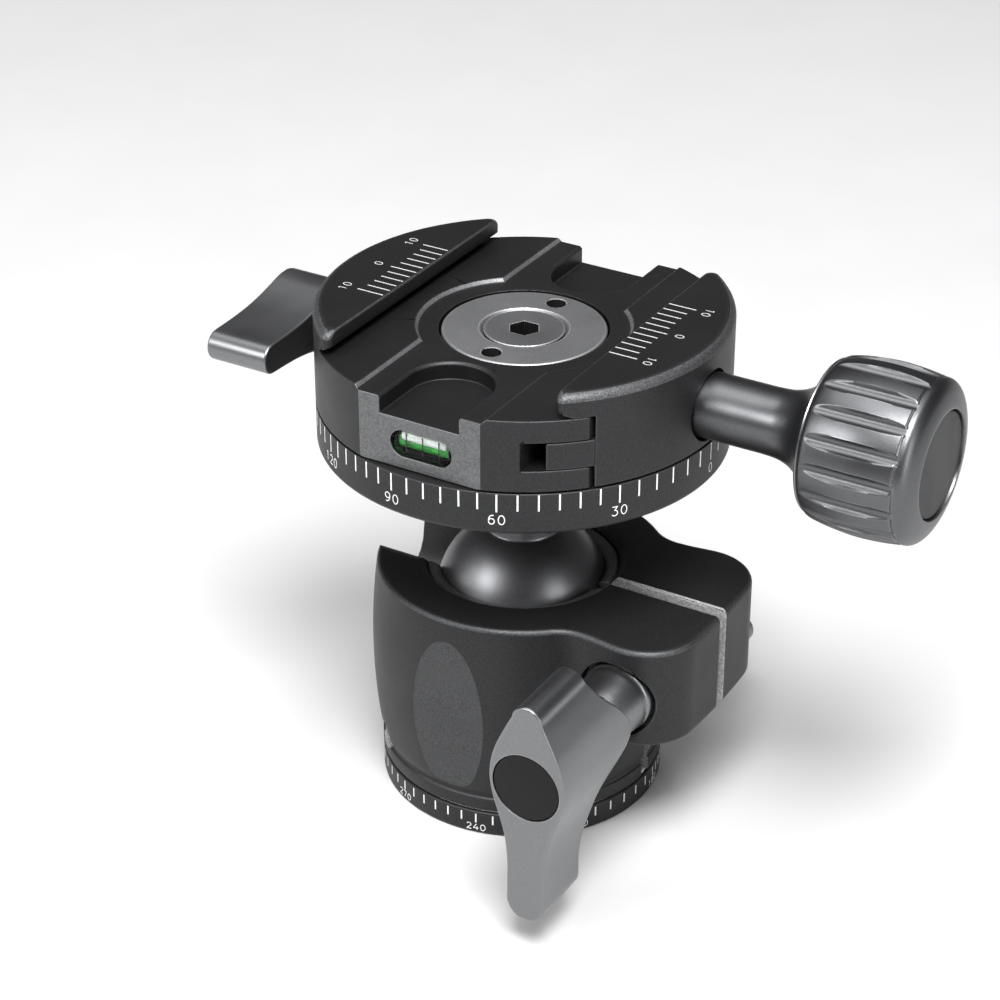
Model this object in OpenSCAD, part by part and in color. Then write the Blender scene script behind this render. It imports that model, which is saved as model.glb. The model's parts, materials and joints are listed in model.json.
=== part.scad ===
// Tripod ball head: round panning base, split ball housing with a drop notch,
// clamping lever, ball with panning degree ring, and a dovetail plate clamp
// with a sliding jaw driven by a knob.
// Millimetres. Origin at the centre of the base's bottom face, +Z up,
// +X towards the clamp knob, the dovetail groove runs along Y.

/* [Base] */
// Radius of the base flange
base_flange_r = 21.4; // [21.0:0.1:22.0]
// Height of the base flange
base_flange_h = 3.9; // [3.6:0.1:3.9]
// Wall radius of the 3/8 inch tripod thread
tripod_thread_r = 3.97; // [3.9:0.01:4.1]

/* [Housing] */
// Largest radius of the barrel
barrel_r = 22.65; // [22.3:0.05:23.0]
// Height of the barrel's top face
barrel_top = 36.5; // [36.2:0.1:36.8]
// Outer end of the clamping lug
lug_end = 33.15; // [32.5:0.05:34.0]
// Half width of the clamping lug
lug_half = 15.9; // [15.7:0.1:16.3]
// Width of the clamping slot
slot_w = 2.0; // [1.5:0.1:2.5]
// Half width of the drop notch
notch_half = 6.1; // [5.9:0.05:6.4]

/* [Ball] */
// Radius of the ball
ball_r = 13.0; // [12.9:0.01:13.0]
// Radius of the neck
neck_r = 5.5; // [5.0:0.1:5.6]

/* [Clamp] */
// Outer radius of the clamp and of the degree ring
disc_r = 30.0; // [29.5:0.1:30.5]
// Height of the jaws' top faces
jaw_top = 78.25; // [78.0:0.05:78.6]
// Lip position of the fixed jaw
lip_x = 17.7; // [17.4:0.05:18.0]

/* [Knob] */
// Largest radius of the knob's grip
grip_r = 12.25; // [12.1:0.05:12.6]
// Number of flutes round the grip
flutes = 18; // [14:1:22]
// Outer face of the knob
knob_end = 64.2; // [63.8:0.1:65.0]

/* [Levers] */
// Outer face of the main lever
main_face = 40.85; // [40.6:0.05:41.5]

/* [Hidden] */
$fn = 96;
ball_z = 30;
bolt_x = 24.1;
bolt_z = 27.6;
lock_z = 68.3;
base_lock_z = 8.4;
screw_z = 69.5;
arc_r = 103.6;
floor_z = 74.65;
relief_z = 74.05;

// cylinders along X and Y, from a to b
module cyl_x(a, b, r, y = 0, z = 0) { translate([a, y, z]) rotate([0, 90, 0]) cylinder(r = r, h = b - a); }
module cyl_y(a, b, r, x = 0, z = 0) { translate([x, b, z]) rotate([90, 0, 0]) cylinder(r = r, h = b - a); }
module ring(a, b, r0, r1) { translate([0, 0, a]) difference() { cylinder(r = r1, h = b - a); translate([0, 0, -1]) cylinder(r = r0, h = b - a + 2); } }
// hexagonal prism along Z, size across flats
module hex_z(a, b, af) { k = af / 2; c = af / 1.7320508; translate([0, 0, a]) linear_extrude(b - a) polygon([[c, 0], [c / 2, k], [-c / 2, k], [-c, 0], [-c / 2, -k], [c / 2, -k]]); }

// ---------------------------------------------------------------- base
module base_plate() color("#26282b") difference() {
  rotate_extrude() polygon([[3.0, 0], [base_flange_r - 0.5, 0], [base_flange_r, 0.5], [base_flange_r, base_flange_h - 0.4],
    [base_flange_r - 0.4, base_flange_h], [16.5, base_flange_h], [16.5, 6.75], [14.3, 6.75], [14.3, 10.05], [16.5, 10.05], [16.5, 11.6], [16.1, 12.0], [3.0, 12.0]]);
  translate([0, 0, -1]) cylinder(r = 6.5, h = 9.5);
}
module thread_insert() color("#b9bcc0") difference() {
  cylinder(r = 6.5, h = 8.5);
  translate([0, 0, -1]) cylinder(r = tripod_thread_r, h = 11);
}
module base_glide_washer() color("#e6e4dc") ring(base_flange_h, 4.3, 17, 20.8);

// ------------------------------------------------------------- housing
// barrel outline with its bulged side
module barrel_section() {
  union() {
    translate([0, 4.35]) square([21.3, 2.0]);
    translate([0, 6.0]) square([20.9, 1.0]);
    intersection() {
      translate([0, 6.6]) square([30, barrel_top - 6.6]);
      translate([barrel_r - arc_r, 22.8]) circle(r = arc_r, $fn = 360);
      polygon([[0, 0], [20.7, 6.0], [22.9, 7.6], [23.5, 12], [23.5, barrel_top - 1.4], [20.9, barrel_top + 0.3], [0, barrel_top + 0.3]]);
    }
  }
}
module lug_outline() {
  difference() {
    union() {
      translate([12, -lug_half]) square([lug_end - 20, 2 * lug_half]);
      for (s = [-1, 1]) translate([lug_end - 8, s * (lug_half - 8)]) circle(r = 8);
      translate([lug_end - 9, 8 - lug_half]) square([9, 2 * lug_half - 16]);
      for (s = [-1, 1]) polygon([[10, 0], [14.9, s * 17.0], [15.3, s * 17.1], [19.5, s * 21.8], [19.5, 0]]);
    }
    for (s = [-1, 1]) translate([19.5, s * 21.8]) circle(r = 6.6);
  }
}
module notch_cut(x0) {
  cyl_x(-30, x0, notch_half, 0, ball_z);
  translate([-30, -notch_half, ball_z]) cube([30 + x0, 2 * notch_half, 12]);
}
module ball_housing() color("#1f2124") difference() {
  union() {
    rotate_extrude() barrel_section();
    translate([0, 0, 20.7]) linear_extrude(barrel_top - 20.7) lug_outline();
  }
  // bores from the bottom up
  translate([0, 0, 3]) cylinder(r = 16.55, h = 9.35);
  translate([0, 0, 12]) cylinder(r = 15.2, h = 2.05);
  translate([0, 0, 13]) cylinder(r = 14.4, h = 30);
  translate([0, 0, barrel_top - 1.2]) cylinder(r1 = 14.4, r2 = 15.5, h = 1.3);
  // clamping slot with opened edges
  translate([12, -slot_w / 2, 3]) cube([24, slot_w, 40]);
  translate([12, 0, barrel_top]) rotate([45, 0, 0]) translate([0, -1.06, -1.06]) cube([24, 2.12, 2.12]);
  // drop notch with rounded upper edges
  notch_cut(-10);
  difference() {
    translate([-30, -notch_half - 3.8, 32.7]) cube([20, 2 * notch_half + 7.6, 6]);
    for (s = [-1, 1]) cyl_x(-31, -9, 3.8, s * (notch_half + 3.8), 32.7);
  }
  // flat recess on the front of the barrel
  translate([-12, -30, 6.6]) rotate([1.72, 0, 0]) translate([0, 8.62 - 5.0, -1]) cube([24, 5.0, 30.5]);
  // bolt hole, counterbore and nut pocket
  cyl_y(-20, 20, 3.3, bolt_x, bolt_z);
  cyl_y(-20, -13.4, 5.9, bolt_x, bolt_z);
  cyl_y(9.4, 20, 5.0, bolt_x, bolt_z);
  // radial set screws
  for (a = [224, 316]) rotate([0, 0, a]) {
    cyl_x(14, 20, 2.5, 0, base_lock_z);
    cyl_x(19.4, 24, 3.0, 0, base_lock_z);
  }
  // base brake
  cyl_y(14, 19, 1.5, 0, base_lock_z);
  cyl_y(18.5, 24, 2.55, 0, base_lock_z);
  cyl_y(21.2, 24, 4.0, 0, base_lock_z);
}
module socket_plug() color("#2c2e31") difference() {
  translate([0, 0, 12.4]) cylinder(r = 15.2, h = 1.65);
  translate([0, 0, 12]) cylinder(r = 2.6, h = 3);
  for (s = [-1, 1]) translate([s * 10.5, 0, 12]) cylinder(r = 1.2, h = 3);
}
module seat_spring() color("#a9adb1") rotate_extrude() polygon([[8.0, 14.6], [8.0, 14.95], [8.4, 14.95], [13.6, 14.4], [13.6, 14.05], [13.2, 14.05]]);
module seat_block() color("#8f9398") difference() {
  translate([0, 0, 14.95]) cylinder(r = 14.35, h = 7.95);
  translate([0, 0, ball_z]) sphere(r = 14.25, $fn = 128);
  translate([0, 0, 14]) cylinder(r = 3, h = 3);
}
module upper_liner() color("#c9ccd0") difference() {
  translate([0, 0, 22.9]) cylinder(r = 14.4, h = 12.2);
  translate([0, 0, ball_z]) sphere(r = ball_r + 0.06, $fn = 128);
  translate([0, 0, 34.2]) cylinder(r1 = 12.2, r2 = 13.4, h = 1.2);
  translate([8, -slot_w / 2, 20]) cube([8, slot_w, 20]);
  notch_cut(-8);
  difference() {
    translate([-16, -notch_half - 3.8, 32.7]) cube([8, 2 * notch_half + 7.6, 4]);
    for (s = [-1, 1]) cyl_x(-17, -7, 3.8, s * (notch_half + 3.8), 32.7);
  }
}
module bolt_nut() color("#a9adb1") difference() {
  cyl_y(9.4, 15.5, 5.0, bolt_x, bolt_z);
  cyl_y(8, 17, 3.05, bolt_x, bolt_z);
  for (s = [-1, 1]) cyl_y(14, 17, 0.6, bolt_x + s * 4.0, bolt_z);
}
module pan_set_screws() color("#3a3d40") for (a = [224, 316]) rotate([0, 0, a]) difference() {
  union() { cyl_x(16.8, 19.4, 2.5, 0, base_lock_z); cyl_x(14.6, 17, 1.5, 0, base_lock_z); }
  translate([20, 0, base_lock_z]) rotate([0, -90, 0]) hex_z(0, 2.4, 2.5);
}
module base_brake_pad() color("#b48a3c") cyl_y(14.5, 18.4, 1.5, 0, base_lock_z);

// ------------------------------------------------------------ ball cup
module ball_cup() color("#e6e4dc") rotate_extrude() difference() {
  intersection() {
    translate([0, ball_z]) circle(r = 14.2, $fn = 256);
    polygon([[2.0, 10], [2.0, 26.5], [2.1, 26.5], [12.0, 10.0]]);
  }
  translate([0, ball_z]) circle(r = ball_r + 0.05, $fn = 256);
}

// ---------------------------------------------------------------- ball
module ball() color("#5d6064") difference() {
  union() {
    translate([0, 0, ball_z]) sphere(r = ball_r, $fn = 144);
    translate([0, 0, ball_z]) cylinder(r = neck_r, h = 57.1 - ball_z);
    translate([0, 0, 56]) cylinder(r = 4.5, h = 4.5);
  }
  translate([0, 0, 50]) cylinder(r = 3.0, h = 12);
}
module pan_ring() color("#1f2124") difference() {
  rotate_extrude() polygon([[0, 57.1], [disc_r - 1.2, 57.1], [disc_r, 57.9], [disc_r, 63.15], [disc_r - 0.4, 63.55], [0, 63.55]]);
  translate([0, 0, 56]) cylinder(r = 4.5, h = 5);
  translate([0, 0, 60.5]) cylinder(r = 8.6, h = 4);
  ring(63.0, 64, 14, 24);
}
module pan_spindle() color("#85888c") difference() {
  union() {
    translate([0, 0, 60.5]) cylinder(r = 8.6, h = 11);
    translate([0, 0, 71.0]) cylinder(r = 11.85, h = 2.75);
    translate([0, 0, 73.7]) cylinder(r1 = 11.85, r2 = 11.6, h = 0.25);
  }
  translate([0, 0, 60]) cylinder(r = 3.0, h = 14);
  translate([0, 0, 70.75]) cylinder(r1 = 3.0, r2 = 6.0, h = 3.0);
  translate([0, 0, 73.7]) cylinder(r = 6.0, h = 1);
  for (s = [-1, 1]) translate([0, s * 9.2, 72.0]) cylinder(r = 0.95, h = 3);
}
module centre_screw() color("#3c3f43") difference() {
  union() {
    translate([0, 0, 51]) cylinder(r = 3.0, h = 20);
    translate([0, 0, 70.75]) cylinder(r1 = 3.0, r2 = 6.0, h = 3.0);
  }
  hex_z(71.2, 75, 4.0);
}
module lower_pan_washer() color("#e6e4dc") ring(63.0, 63.7, 14, 24);

// --------------------------------------------------------------- clamp
module disc_outline(z0, z1) rotate_extrude() polygon([[0, z0], [disc_r - 0.4, z0], [disc_r, z0 + 0.4], [disc_r, z1 - 0.5], [disc_r - 0.5, z1], [0, z1]]);
module pocket(s) {
  translate([0, s * 20.4, 71.45]) cylinder(r = 6.3, h = 10);
  translate([-6.3, s > 0 ? 20.4 : -32, 71.45]) cube([12.6, 11.6, 10]);
}
module clamp_body() color("#232528") difference() {
  disc_outline(63.75, jaw_top);
  // seat of the sliding jaw
  translate([22.1, -40, 60]) cube([20, 80, 30]);
  // dovetail channel with the fixed jaw's undercut
  translate([0, 40, 0]) rotate([90, 0, 0]) linear_extrude(80) polygon([[-20.75, floor_z], [-lip_x, 75.95], [-lip_x, 77.95], [-lip_x - 0.3, 80], [31, 80], [31, floor_z]]);
  // relief channel and round relief
  translate([0, 40, 0]) rotate([90, 0, 0]) linear_extrude(80) polygon([[-9.85, relief_z], [9.85, relief_z], [10.45, floor_z + 0.01], [10.45, 75], [-10.45, 75], [-10.45, floor_z + 0.01]]);
  translate([0, 0, relief_z]) cylinder(r1 = 15.0, r2 = 15.6, h = 0.62);
  for (s = [-1, 1]) pocket(s);
  // bore for the spindle
  translate([0, 0, 60]) cylinder(r = 8.65, h = 12);
  translate([0, 0, 70.45]) cylinder(r = 12.2, h = 6);
  // front and rear flats, level's seat in the front one
  for (y = [-40, 28.4]) translate([-20, y, 60]) cube([40, 40 - 28.4, 20]);
  cyl_y(-32, -24.2, 2.0, -2.6, 67.6);
  cyl_y(-32, -24.2, 2.0, 3.1, 67.6);
  translate([-2.6, -32, 65.6]) cube([5.7, 7.8, 4.0]);
  // guide grooves of the jaw's tongues
  for (s = [-1, 1]) translate([14.65, s > 0 ? 14.5 : -35, 67.05]) cube([10, 20.5, 4.25]);
  // threaded bore and guide bores
  cyl_x(12.8, 24, 3.05, 0, screw_z);
  for (s = [-1, 1]) cyl_x(13.2, 24, 2.05, s * 9.5, screw_z);
  // head brake bore
  cyl_x(-18, -7, 2.0, 0, lock_z);
  cyl_x(-32, -13.0, 2.55, 0, lock_z);
  cyl_x(-32, -29.4, 5.2, 0, lock_z);
}
module upper_pan_washer() color("#e6e4dc") ring(70.45, 70.95, 8.95, 11.7);
module level_vial() color("#d8e0dc") difference() {
  union() {
    cyl_y(-28.0, -24.2, 1.95, -2.6, 67.6);
    cyl_y(-28.0, -24.2, 1.95, 3.1, 67.6);
    translate([-2.6, -28.0, 65.65]) cube([5.7, 3.8, 3.9]);
  }
  cyl_x(-3.6, 4.1, 1.4, -26.1, 67.6);
}
module level_fluid() color("#59c44a") difference() {
  cyl_x(-3.6, 4.1, 1.4, -26.1, 67.6);
  cyl_x(-1.4, 1.9, 0.75, -26.3, 68.2);
}
module head_brake_pad() color("#b48a3c") difference() {
  cyl_x(-12.95, -8, 2.0, 0, lock_z);
  translate([0, 0, 60]) cylinder(r = 8.65, h = 12);
}

// ----------------------------------------------------------------- jaw
module movable_jaw() color("#232528") difference() {
  intersection() {
    disc_outline(63.8, jaw_top);
    union() {
      translate([22.48, -40, 60]) cube([20, 80, 30]);
      translate([0, 40, 0]) rotate([90, 0, 0]) linear_extrude(80) polygon([[20.4, 74.7], [lip_x + 0.2, 75.85], [lip_x + 0.2, 77.95], [lip_x + 0.5, 80], [31, 80], [31, 74.7]]);
      for (s = [-1, 1]) translate([17.47, s > 0 ? 14.6 : -35, 67.1]) cube([8, 20.4, 4.0]);
    }
  }
  cyl_x(20, 32, 3.05, 0, screw_z);
  cyl_x(20, 25.8, 4.2, 0, screw_z);
  cyl_x(27.5, 34, 5.2, 0, screw_z);
  for (s = [-1, 1]) cyl_x(20, 26.6, 2.0, s * 9.5, screw_z);
}
module guide_pins() color("#b9bcc0") for (s = [-1, 1]) cyl_x(14.2, 26.6, 2.0, s * 9.5, screw_z);
// coil spring round the clamp screw
module jaw_spring() {
  n = 48; m = 8; turns = 3; coil_r = 3.65; wire_r = 0.3;
  color("#a9adb1") polyhedron(
    points = [for (i = [0 : n]) for (j = [0 : m - 1]) let (a = 360 * turns * i / n, c = 360 * j / m, q = coil_r + wire_r * cos(c))
      [22.87 + 2.6 * i / n + wire_r * sin(c), q * cos(a), screw_z + q * sin(a)]],
    faces = concat([[for (j = [m - 1 : -1 : 0]) j]], [[for (j = [0 : m - 1]) n * m + j]],
      [for (i = [0 : n - 1]) for (j = [0 : m - 1]) [i * m + j, i * m + (j + 1) % m, (i + 1) * m + j]],
      [for (i = [0 : n - 1]) for (j = [0 : m - 1]) [i * m + (j + 1) % m, (i + 1) * m + (j + 1) % m, (i + 1) * m + j]]));
}
module knob_washer() color("#a9adb1") difference() { cyl_x(27.5, 28.1, 4.9, 0, screw_z); cyl_x(27, 29, 3.4, 0, screw_z); }

// ---------------------------------------------------------------- knob
module clamp_knob() color("#3d4043") difference() {
  translate([0, 0, screw_z]) rotate([0, 90, 0]) rotate_extrude() polygon([[0, 28.15], [4.75, 28.15], [4.75, 40.6], [5.1, 42.6], [6.0, 44.4], [7.4, 45.9], [9.4, 47.1], [10.8, 47.7], [11.3, 48.3],
    [11.8, 50.0], [12.1, 52.6], [grip_r, 55.4], [12.0, 58.4], [11.65, 60.8], [11.5, 61.8], [11.1, 62.6], [10.3, 63.3], [9.2, 63.9], [8.2, knob_end], [7.6, knob_end], [7.6, 62.6], [0, 62.6]]);
  cyl_x(28, 50, 3.0, 0, screw_z);
  // straight flutes, which run out on the barrel-shaped grip at both ends
  for (k = [0 : flutes - 1]) translate([0, 0, screw_z]) rotate([15 + k * 360 / flutes, 0, 0])
    cyl_x(48.9, 62.0, 1.1, 12.5, 0);
}
module clamp_screw() color("#a9adb1") cyl_x(13.4, 50, 3.0, 0, screw_z);
module knob_insert() color("#2c2e31") cyl_x(62.6, 63.8, 7.6, 0, screw_z);

// ---------------------------------------------------------- main lever
// points on an arc, and one side of the wing's outline
function arc(x, y, r, a0, a1, n) = [for (i = [0 : n]) let (a = a0 + (a1 - a0) * i / n) [x + r * cos(a), y + r * sin(a)]];
function wing_side(s) = [for (p = [[3.05, -16.0], [3.1, -12.5], [3.6, -8.6], [4.2, -6.5], [5.0, -4.0], [5.6, -1.7], [5.85, 0], [5.8, 1.5], [5.4, 3.6], [4.8, 5.5], [4.1, 7.1], [3.2, 9.0]]) [s * p[0], p[1]]];
module main_lever() color("#3d4043") difference() {
  intersection() {
    translate([bolt_x, -15, bolt_z]) rotate([90, 0, 0]) linear_extrude(main_face - 15)
      polygon(concat(wing_side(1), arc(0, 10.6, 2.3, 10, 170, 14), [for (i = [len(wing_side(-1)) - 1 : -1 : 0]) wing_side(-1)[i]], arc(0, -19.5, 3.0, 180, 360, 20)));
    translate([10, 0, bolt_z]) rotate([90, 0, 90]) linear_extrude(30) polygon([[-main_face, 14], [-29.2, 14], [-27.7, 9.8], [-26.0, 7.5], [-23.4, 4.9], [-22.0, 2.7], [-21.2, 1.0], [-21.2, -1.0],
      [-22.0, -2.4], [-24.1, -4.3], [-26.0, -6.8], [-27.6, -9.8], [-29.5, -12.7], [-30.6, -15.2], [-30.6, -24], [-main_face, -24]]);
  }
  cyl_y(-42, -39.65, 5.2, bolt_x, bolt_z);
  cyl_y(-42, -35.0, 3.6, bolt_x, bolt_z);
  cyl_y(-42, -28.0, 2.0, bolt_x, bolt_z);
  cyl_y(-30.0, -20.0, 3.0, bolt_x, bolt_z);
}
module main_bolt() color("#a9adb1") difference() {
  cyl_y(-30.0, 14.6, 3.0, bolt_x, bolt_z);
  cyl_y(-31.0, -22.0, 2.0, bolt_x, bolt_z);
}
module lever_collar() color("#46494d") difference() {
  translate([bolt_x, 0, bolt_z]) rotate([90, 0, 0]) rotate_extrude() polygon([[3.0, 13.45], [5.1, 13.45], [5.35, 13.7], [5.35, 15.2], [5.2, 16.4], [4.9, 18.2], [4.5, 20.2], [4.2, 21.2], [3.0, 21.2]]);
}
module lever_screw() color("#8f9398") difference() {
  union() { cyl_y(-39.0, -35.0, 3.6, bolt_x, bolt_z); cyl_y(-35.5, -23.0, 2.0, bolt_x, bolt_z); }
  translate([bolt_x, -36.5, bolt_z]) rotate([90, 0, 0]) hex_z(0, 4, 3.0);
}
module lever_cap() color("#17181a") cyl_y(-40.8, -39.65, 5.2, bolt_x, bolt_z);

// ----------------------------------------------------- head lock lever
// outline of a single-tail lever, hub at the origin, tail towards -X
module small_lever_outline() {
  circle(r = 4.9);
  translate([-17.7, 0.3]) circle(r = 2.3);
  polygon([[0, 4.9], [-3.2, 4.3], [-6.0, 3.6], [-9.0, 3.1], [-13.0, 2.75], [-17.7, 2.6], [-17.7, -2.0], [-13.0, -2.2], [-9.0, -2.7], [-6.0, -3.4], [-3.2, -4.2], [0, -4.9]]);
}
module head_lever() color("#3d4043") difference() {
  translate([-41.5, 0, lock_z]) rotate([90, 0, 90]) linear_extrude(10.3) small_lever_outline();
  cyl_x(-42, -40.4, 3.9, 0, lock_z);
  cyl_x(-42, -31, 2.5, 0, lock_z);
}
module head_lock_screw() color("#a9adb1") { cyl_x(-40.4, -13.0, 2.5, 0, lock_z); cyl_x(-31.2, -29.45, 4.2, 0, lock_z); }
module head_lever_cap() color("#17181a") cyl_x(-41.45, -40.4, 3.9, 0, lock_z);

// ----------------------------------------------------- base lock lever
module base_lever() color("#3d4043") difference() {
  union() {
    translate([0, 38.5, base_lock_z]) rotate([90, 0, 0]) linear_extrude(10.5) mirror([1, 0, 0]) translate([-0.9, 0]) small_lever_outline();
    cyl_y(24.3, 38.5, 4.9, 0, base_lock_z);
  }
  cyl_y(37.4, 39, 3.9, 0, base_lock_z);
  cyl_y(23, 39, 2.5, 0, base_lock_z);
}
module base_lock_screw() color("#a9adb1") { cyl_y(18.5, 37.4, 2.5, 0, base_lock_z); cyl_y(21.3, 24.3, 3.6, 0, base_lock_z); }
module base_lever_cap() color("#17181a") cyl_y(37.4, 38.45, 3.9, 0, base_lock_z);

base_plate();
thread_insert();
base_glide_washer();
ball_housing();
socket_plug();
seat_spring();
seat_block();
upper_liner();
bolt_nut();
pan_set_screws();
base_brake_pad();
ball_cup();
ball();
pan_ring();
pan_spindle();
centre_screw();
lower_pan_washer();
clamp_body();
upper_pan_washer();
level_vial();
level_fluid();
head_brake_pad();
movable_jaw();
guide_pins();
jaw_spring();
knob_washer();
clamp_knob();
clamp_screw();
knob_insert();
main_lever();
main_bolt();
lever_collar();
lever_screw();
lever_cap();
head_lever();
head_lock_screw();
head_lever_cap();
base_lever();
base_lock_screw();
base_lever_cap();
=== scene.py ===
import bpy
import bmesh
import json
import math
import numpy as np
from math import sin, cos, pi, radians, sqrt, atan2, hypot, tan
from mathutils import Vector, Matrix


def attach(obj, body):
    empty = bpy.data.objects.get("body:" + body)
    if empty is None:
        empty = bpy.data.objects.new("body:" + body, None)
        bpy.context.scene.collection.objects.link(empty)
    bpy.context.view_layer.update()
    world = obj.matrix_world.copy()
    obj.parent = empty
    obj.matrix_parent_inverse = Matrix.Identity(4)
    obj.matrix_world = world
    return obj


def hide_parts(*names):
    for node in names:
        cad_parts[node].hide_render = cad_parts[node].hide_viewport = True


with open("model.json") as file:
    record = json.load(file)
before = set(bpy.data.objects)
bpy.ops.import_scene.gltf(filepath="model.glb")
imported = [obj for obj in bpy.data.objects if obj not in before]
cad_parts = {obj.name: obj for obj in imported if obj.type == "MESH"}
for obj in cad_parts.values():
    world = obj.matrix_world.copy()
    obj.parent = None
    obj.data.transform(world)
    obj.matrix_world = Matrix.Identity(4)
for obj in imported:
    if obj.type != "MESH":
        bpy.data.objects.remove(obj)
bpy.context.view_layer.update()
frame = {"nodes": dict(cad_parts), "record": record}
S = 0.001
SCENE = bpy.context.scene
ORIGIN_COLL = SCENE.collection


# ------------------------------------------------------------------ materials
def surf(name, color, rough=0.45, metal=1.0, grain=0.3, bump=0.3, rvar=0.08, cvar=0.12, edge=0.0, edge_color=None,
         brushed=None, coat=0.0, spec=0.5):
    """Procedural surface: fine grain, slow variation of colour and roughness, painted highlight along edges."""
    m = bpy.data.materials.new(name)
    m.use_nodes = True
    nt = m.node_tree
    nt.nodes.clear()
    N = nt.nodes.new
    L = nt.links.new
    out = N("ShaderNodeOutputMaterial")
    b = N("ShaderNodeBsdfPrincipled")
    L(b.outputs["BSDF"], out.inputs["Surface"])
    tc = N("ShaderNodeTexCoord")
    fine = N("ShaderNodeTexNoise")
    fine.inputs["Scale"].default_value = 1.0 / (grain * S)
    fine.inputs["Detail"].default_value = 3.0
    fine.inputs["Roughness"].default_value = 0.65
    if brushed:
        mp = N("ShaderNodeMapping")
        mp.inputs["Scale"].default_value = brushed
        L(tc.outputs["Object"], mp.inputs["Vector"])
        L(mp.outputs["Vector"], fine.inputs["Vector"])
    else:
        L(tc.outputs["Object"], fine.inputs["Vector"])
    slow = N("ShaderNodeTexNoise")
    slow.inputs["Scale"].default_value = 90.0
    slow.inputs["Detail"].default_value = 4.0
    L(tc.outputs["Object"], slow.inputs["Vector"])
    # roughness
    r1 = N("ShaderNodeMapRange")
    r1.inputs["To Min"].default_value = rough - rvar
    r1.inputs["To Max"].default_value = rough + rvar
    r1.inputs["From Min"].default_value = 0.3
    r1.inputs["From Max"].default_value = 0.7
    L(slow.outputs["Fac"], r1.inputs["Value"])
    r2 = N("ShaderNodeMath")
    r2.operation = "MULTIPLY_ADD"
    r2.inputs[1].default_value = rvar
    L(fine.outputs["Fac"], r2.inputs[0])
    L(r1.outputs["Result"], r2.inputs[2])
    # colour
    c1 = N("ShaderNodeMix")
    c1.data_type = "RGBA"
    lo = [max(0.0, v * (1 - cvar)) for v in color]
    hi = [min(1.0, v * (1 + cvar)) for v in color]
    c1.inputs["A"].default_value = (*lo, 1)
    c1.inputs["B"].default_value = (*hi, 1)
    f1 = N("ShaderNodeMapRange")
    f1.inputs["From Min"].default_value = 0.35
    f1.inputs["From Max"].default_value = 0.65
    L(fine.outputs["Fac"], f1.inputs["Value"])
    L(f1.outputs["Result"], c1.inputs["Factor"])
    last = c1.outputs["Result"]
    rlast = r2.outputs["Value"]
    # painted highlight: lighter colour mixed in along edges where the Bevel-node normal departs from the face normal,
    # its strength varied by slow noise
    if edge > 0:
        ec = edge_color or [min(1.0, v * 2.2 + 0.04) for v in color]
        bv = N("ShaderNodeBevel")
        bv.samples = 4
        bv.inputs["Radius"].default_value = 0.0004
        ge = N("ShaderNodeNewGeometry")
        dp = N("ShaderNodeVectorMath")
        dp.operation = "DOT_PRODUCT"
        L(bv.outputs["Normal"], dp.inputs[0])
        L(ge.outputs["Normal"], dp.inputs[1])
        er = N("ShaderNodeMapRange")
        er.inputs["From Min"].default_value = 1.0
        er.inputs["From Max"].default_value = 0.86
        er.inputs["To Min"].default_value = 0.0
        er.inputs["To Max"].default_value = edge
        L(dp.outputs["Value"], er.inputs["Value"])
        edge_highlight_noise = N("ShaderNodeMapRange")
        edge_highlight_noise.inputs["To Min"].default_value = 0.55
        edge_highlight_noise.inputs["To Max"].default_value = 1.0
        L(slow.outputs["Fac"], edge_highlight_noise.inputs["Value"])
        ef = N("ShaderNodeMath")
        ef.operation = "MULTIPLY"
        ef.use_clamp = True
        L(er.outputs["Result"], ef.inputs[0])
        L(edge_highlight_noise.outputs["Result"], ef.inputs[1])
        c2 = N("ShaderNodeMix")
        c2.data_type = "RGBA"
        c2.inputs["B"].default_value = (*ec, 1)
        L(ef.outputs["Value"], c2.inputs["Factor"])
        L(last, c2.inputs["A"])
        last = c2.outputs["Result"]
    L(last, b.inputs["Base Color"])
    L(rlast, b.inputs["Roughness"])
    b.inputs["Metallic"].default_value = metal
    b.inputs["Specular IOR Level"].default_value = spec
    b.inputs["Coat Weight"].default_value = coat
    if bump > 0:
        bp = N("ShaderNodeBump")
        bp.inputs["Strength"].default_value = bump
        bp.inputs["Distance"].default_value = 0.00004
        L(fine.outputs["Fac"], bp.inputs["Height"])
        L(bp.outputs["Normal"], b.inputs["Normal"])
    return m


BLACK = surf("anodised_black", (0.031, 0.0314, 0.0328), rough=0.46, metal=0.75, grain=0.26, bump=0.6, rvar=0.05, cvar=0.2, edge=0.4, edge_color=(0.15, 0.15, 0.155))
# painted shade: darker, slightly smoother copy of the black anodising for upward faces and the channel and pocket cuts
# of jaw and clamp
BLACK_TOP_SHADE = surf("anodised_black_smooth_painted_shade", (0.016, 0.0162, 0.0172), rough=0.42, metal=0.6, grain=0.3, bump=0.25, rvar=0.05, edge=0.35, edge_color=(0.10, 0.10, 0.105))
# painted highlight: lighter anodised material for the large roundings along the jaw and clamp rims
BLACK_EDGE_HIGHLIGHT = surf("anodised_rounding_painted_highlight", (0.098, 0.099, 0.102), rough=0.5, metal=0.85, grain=0.24, bump=1.1, rvar=0.06, cvar=0.45)
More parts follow.
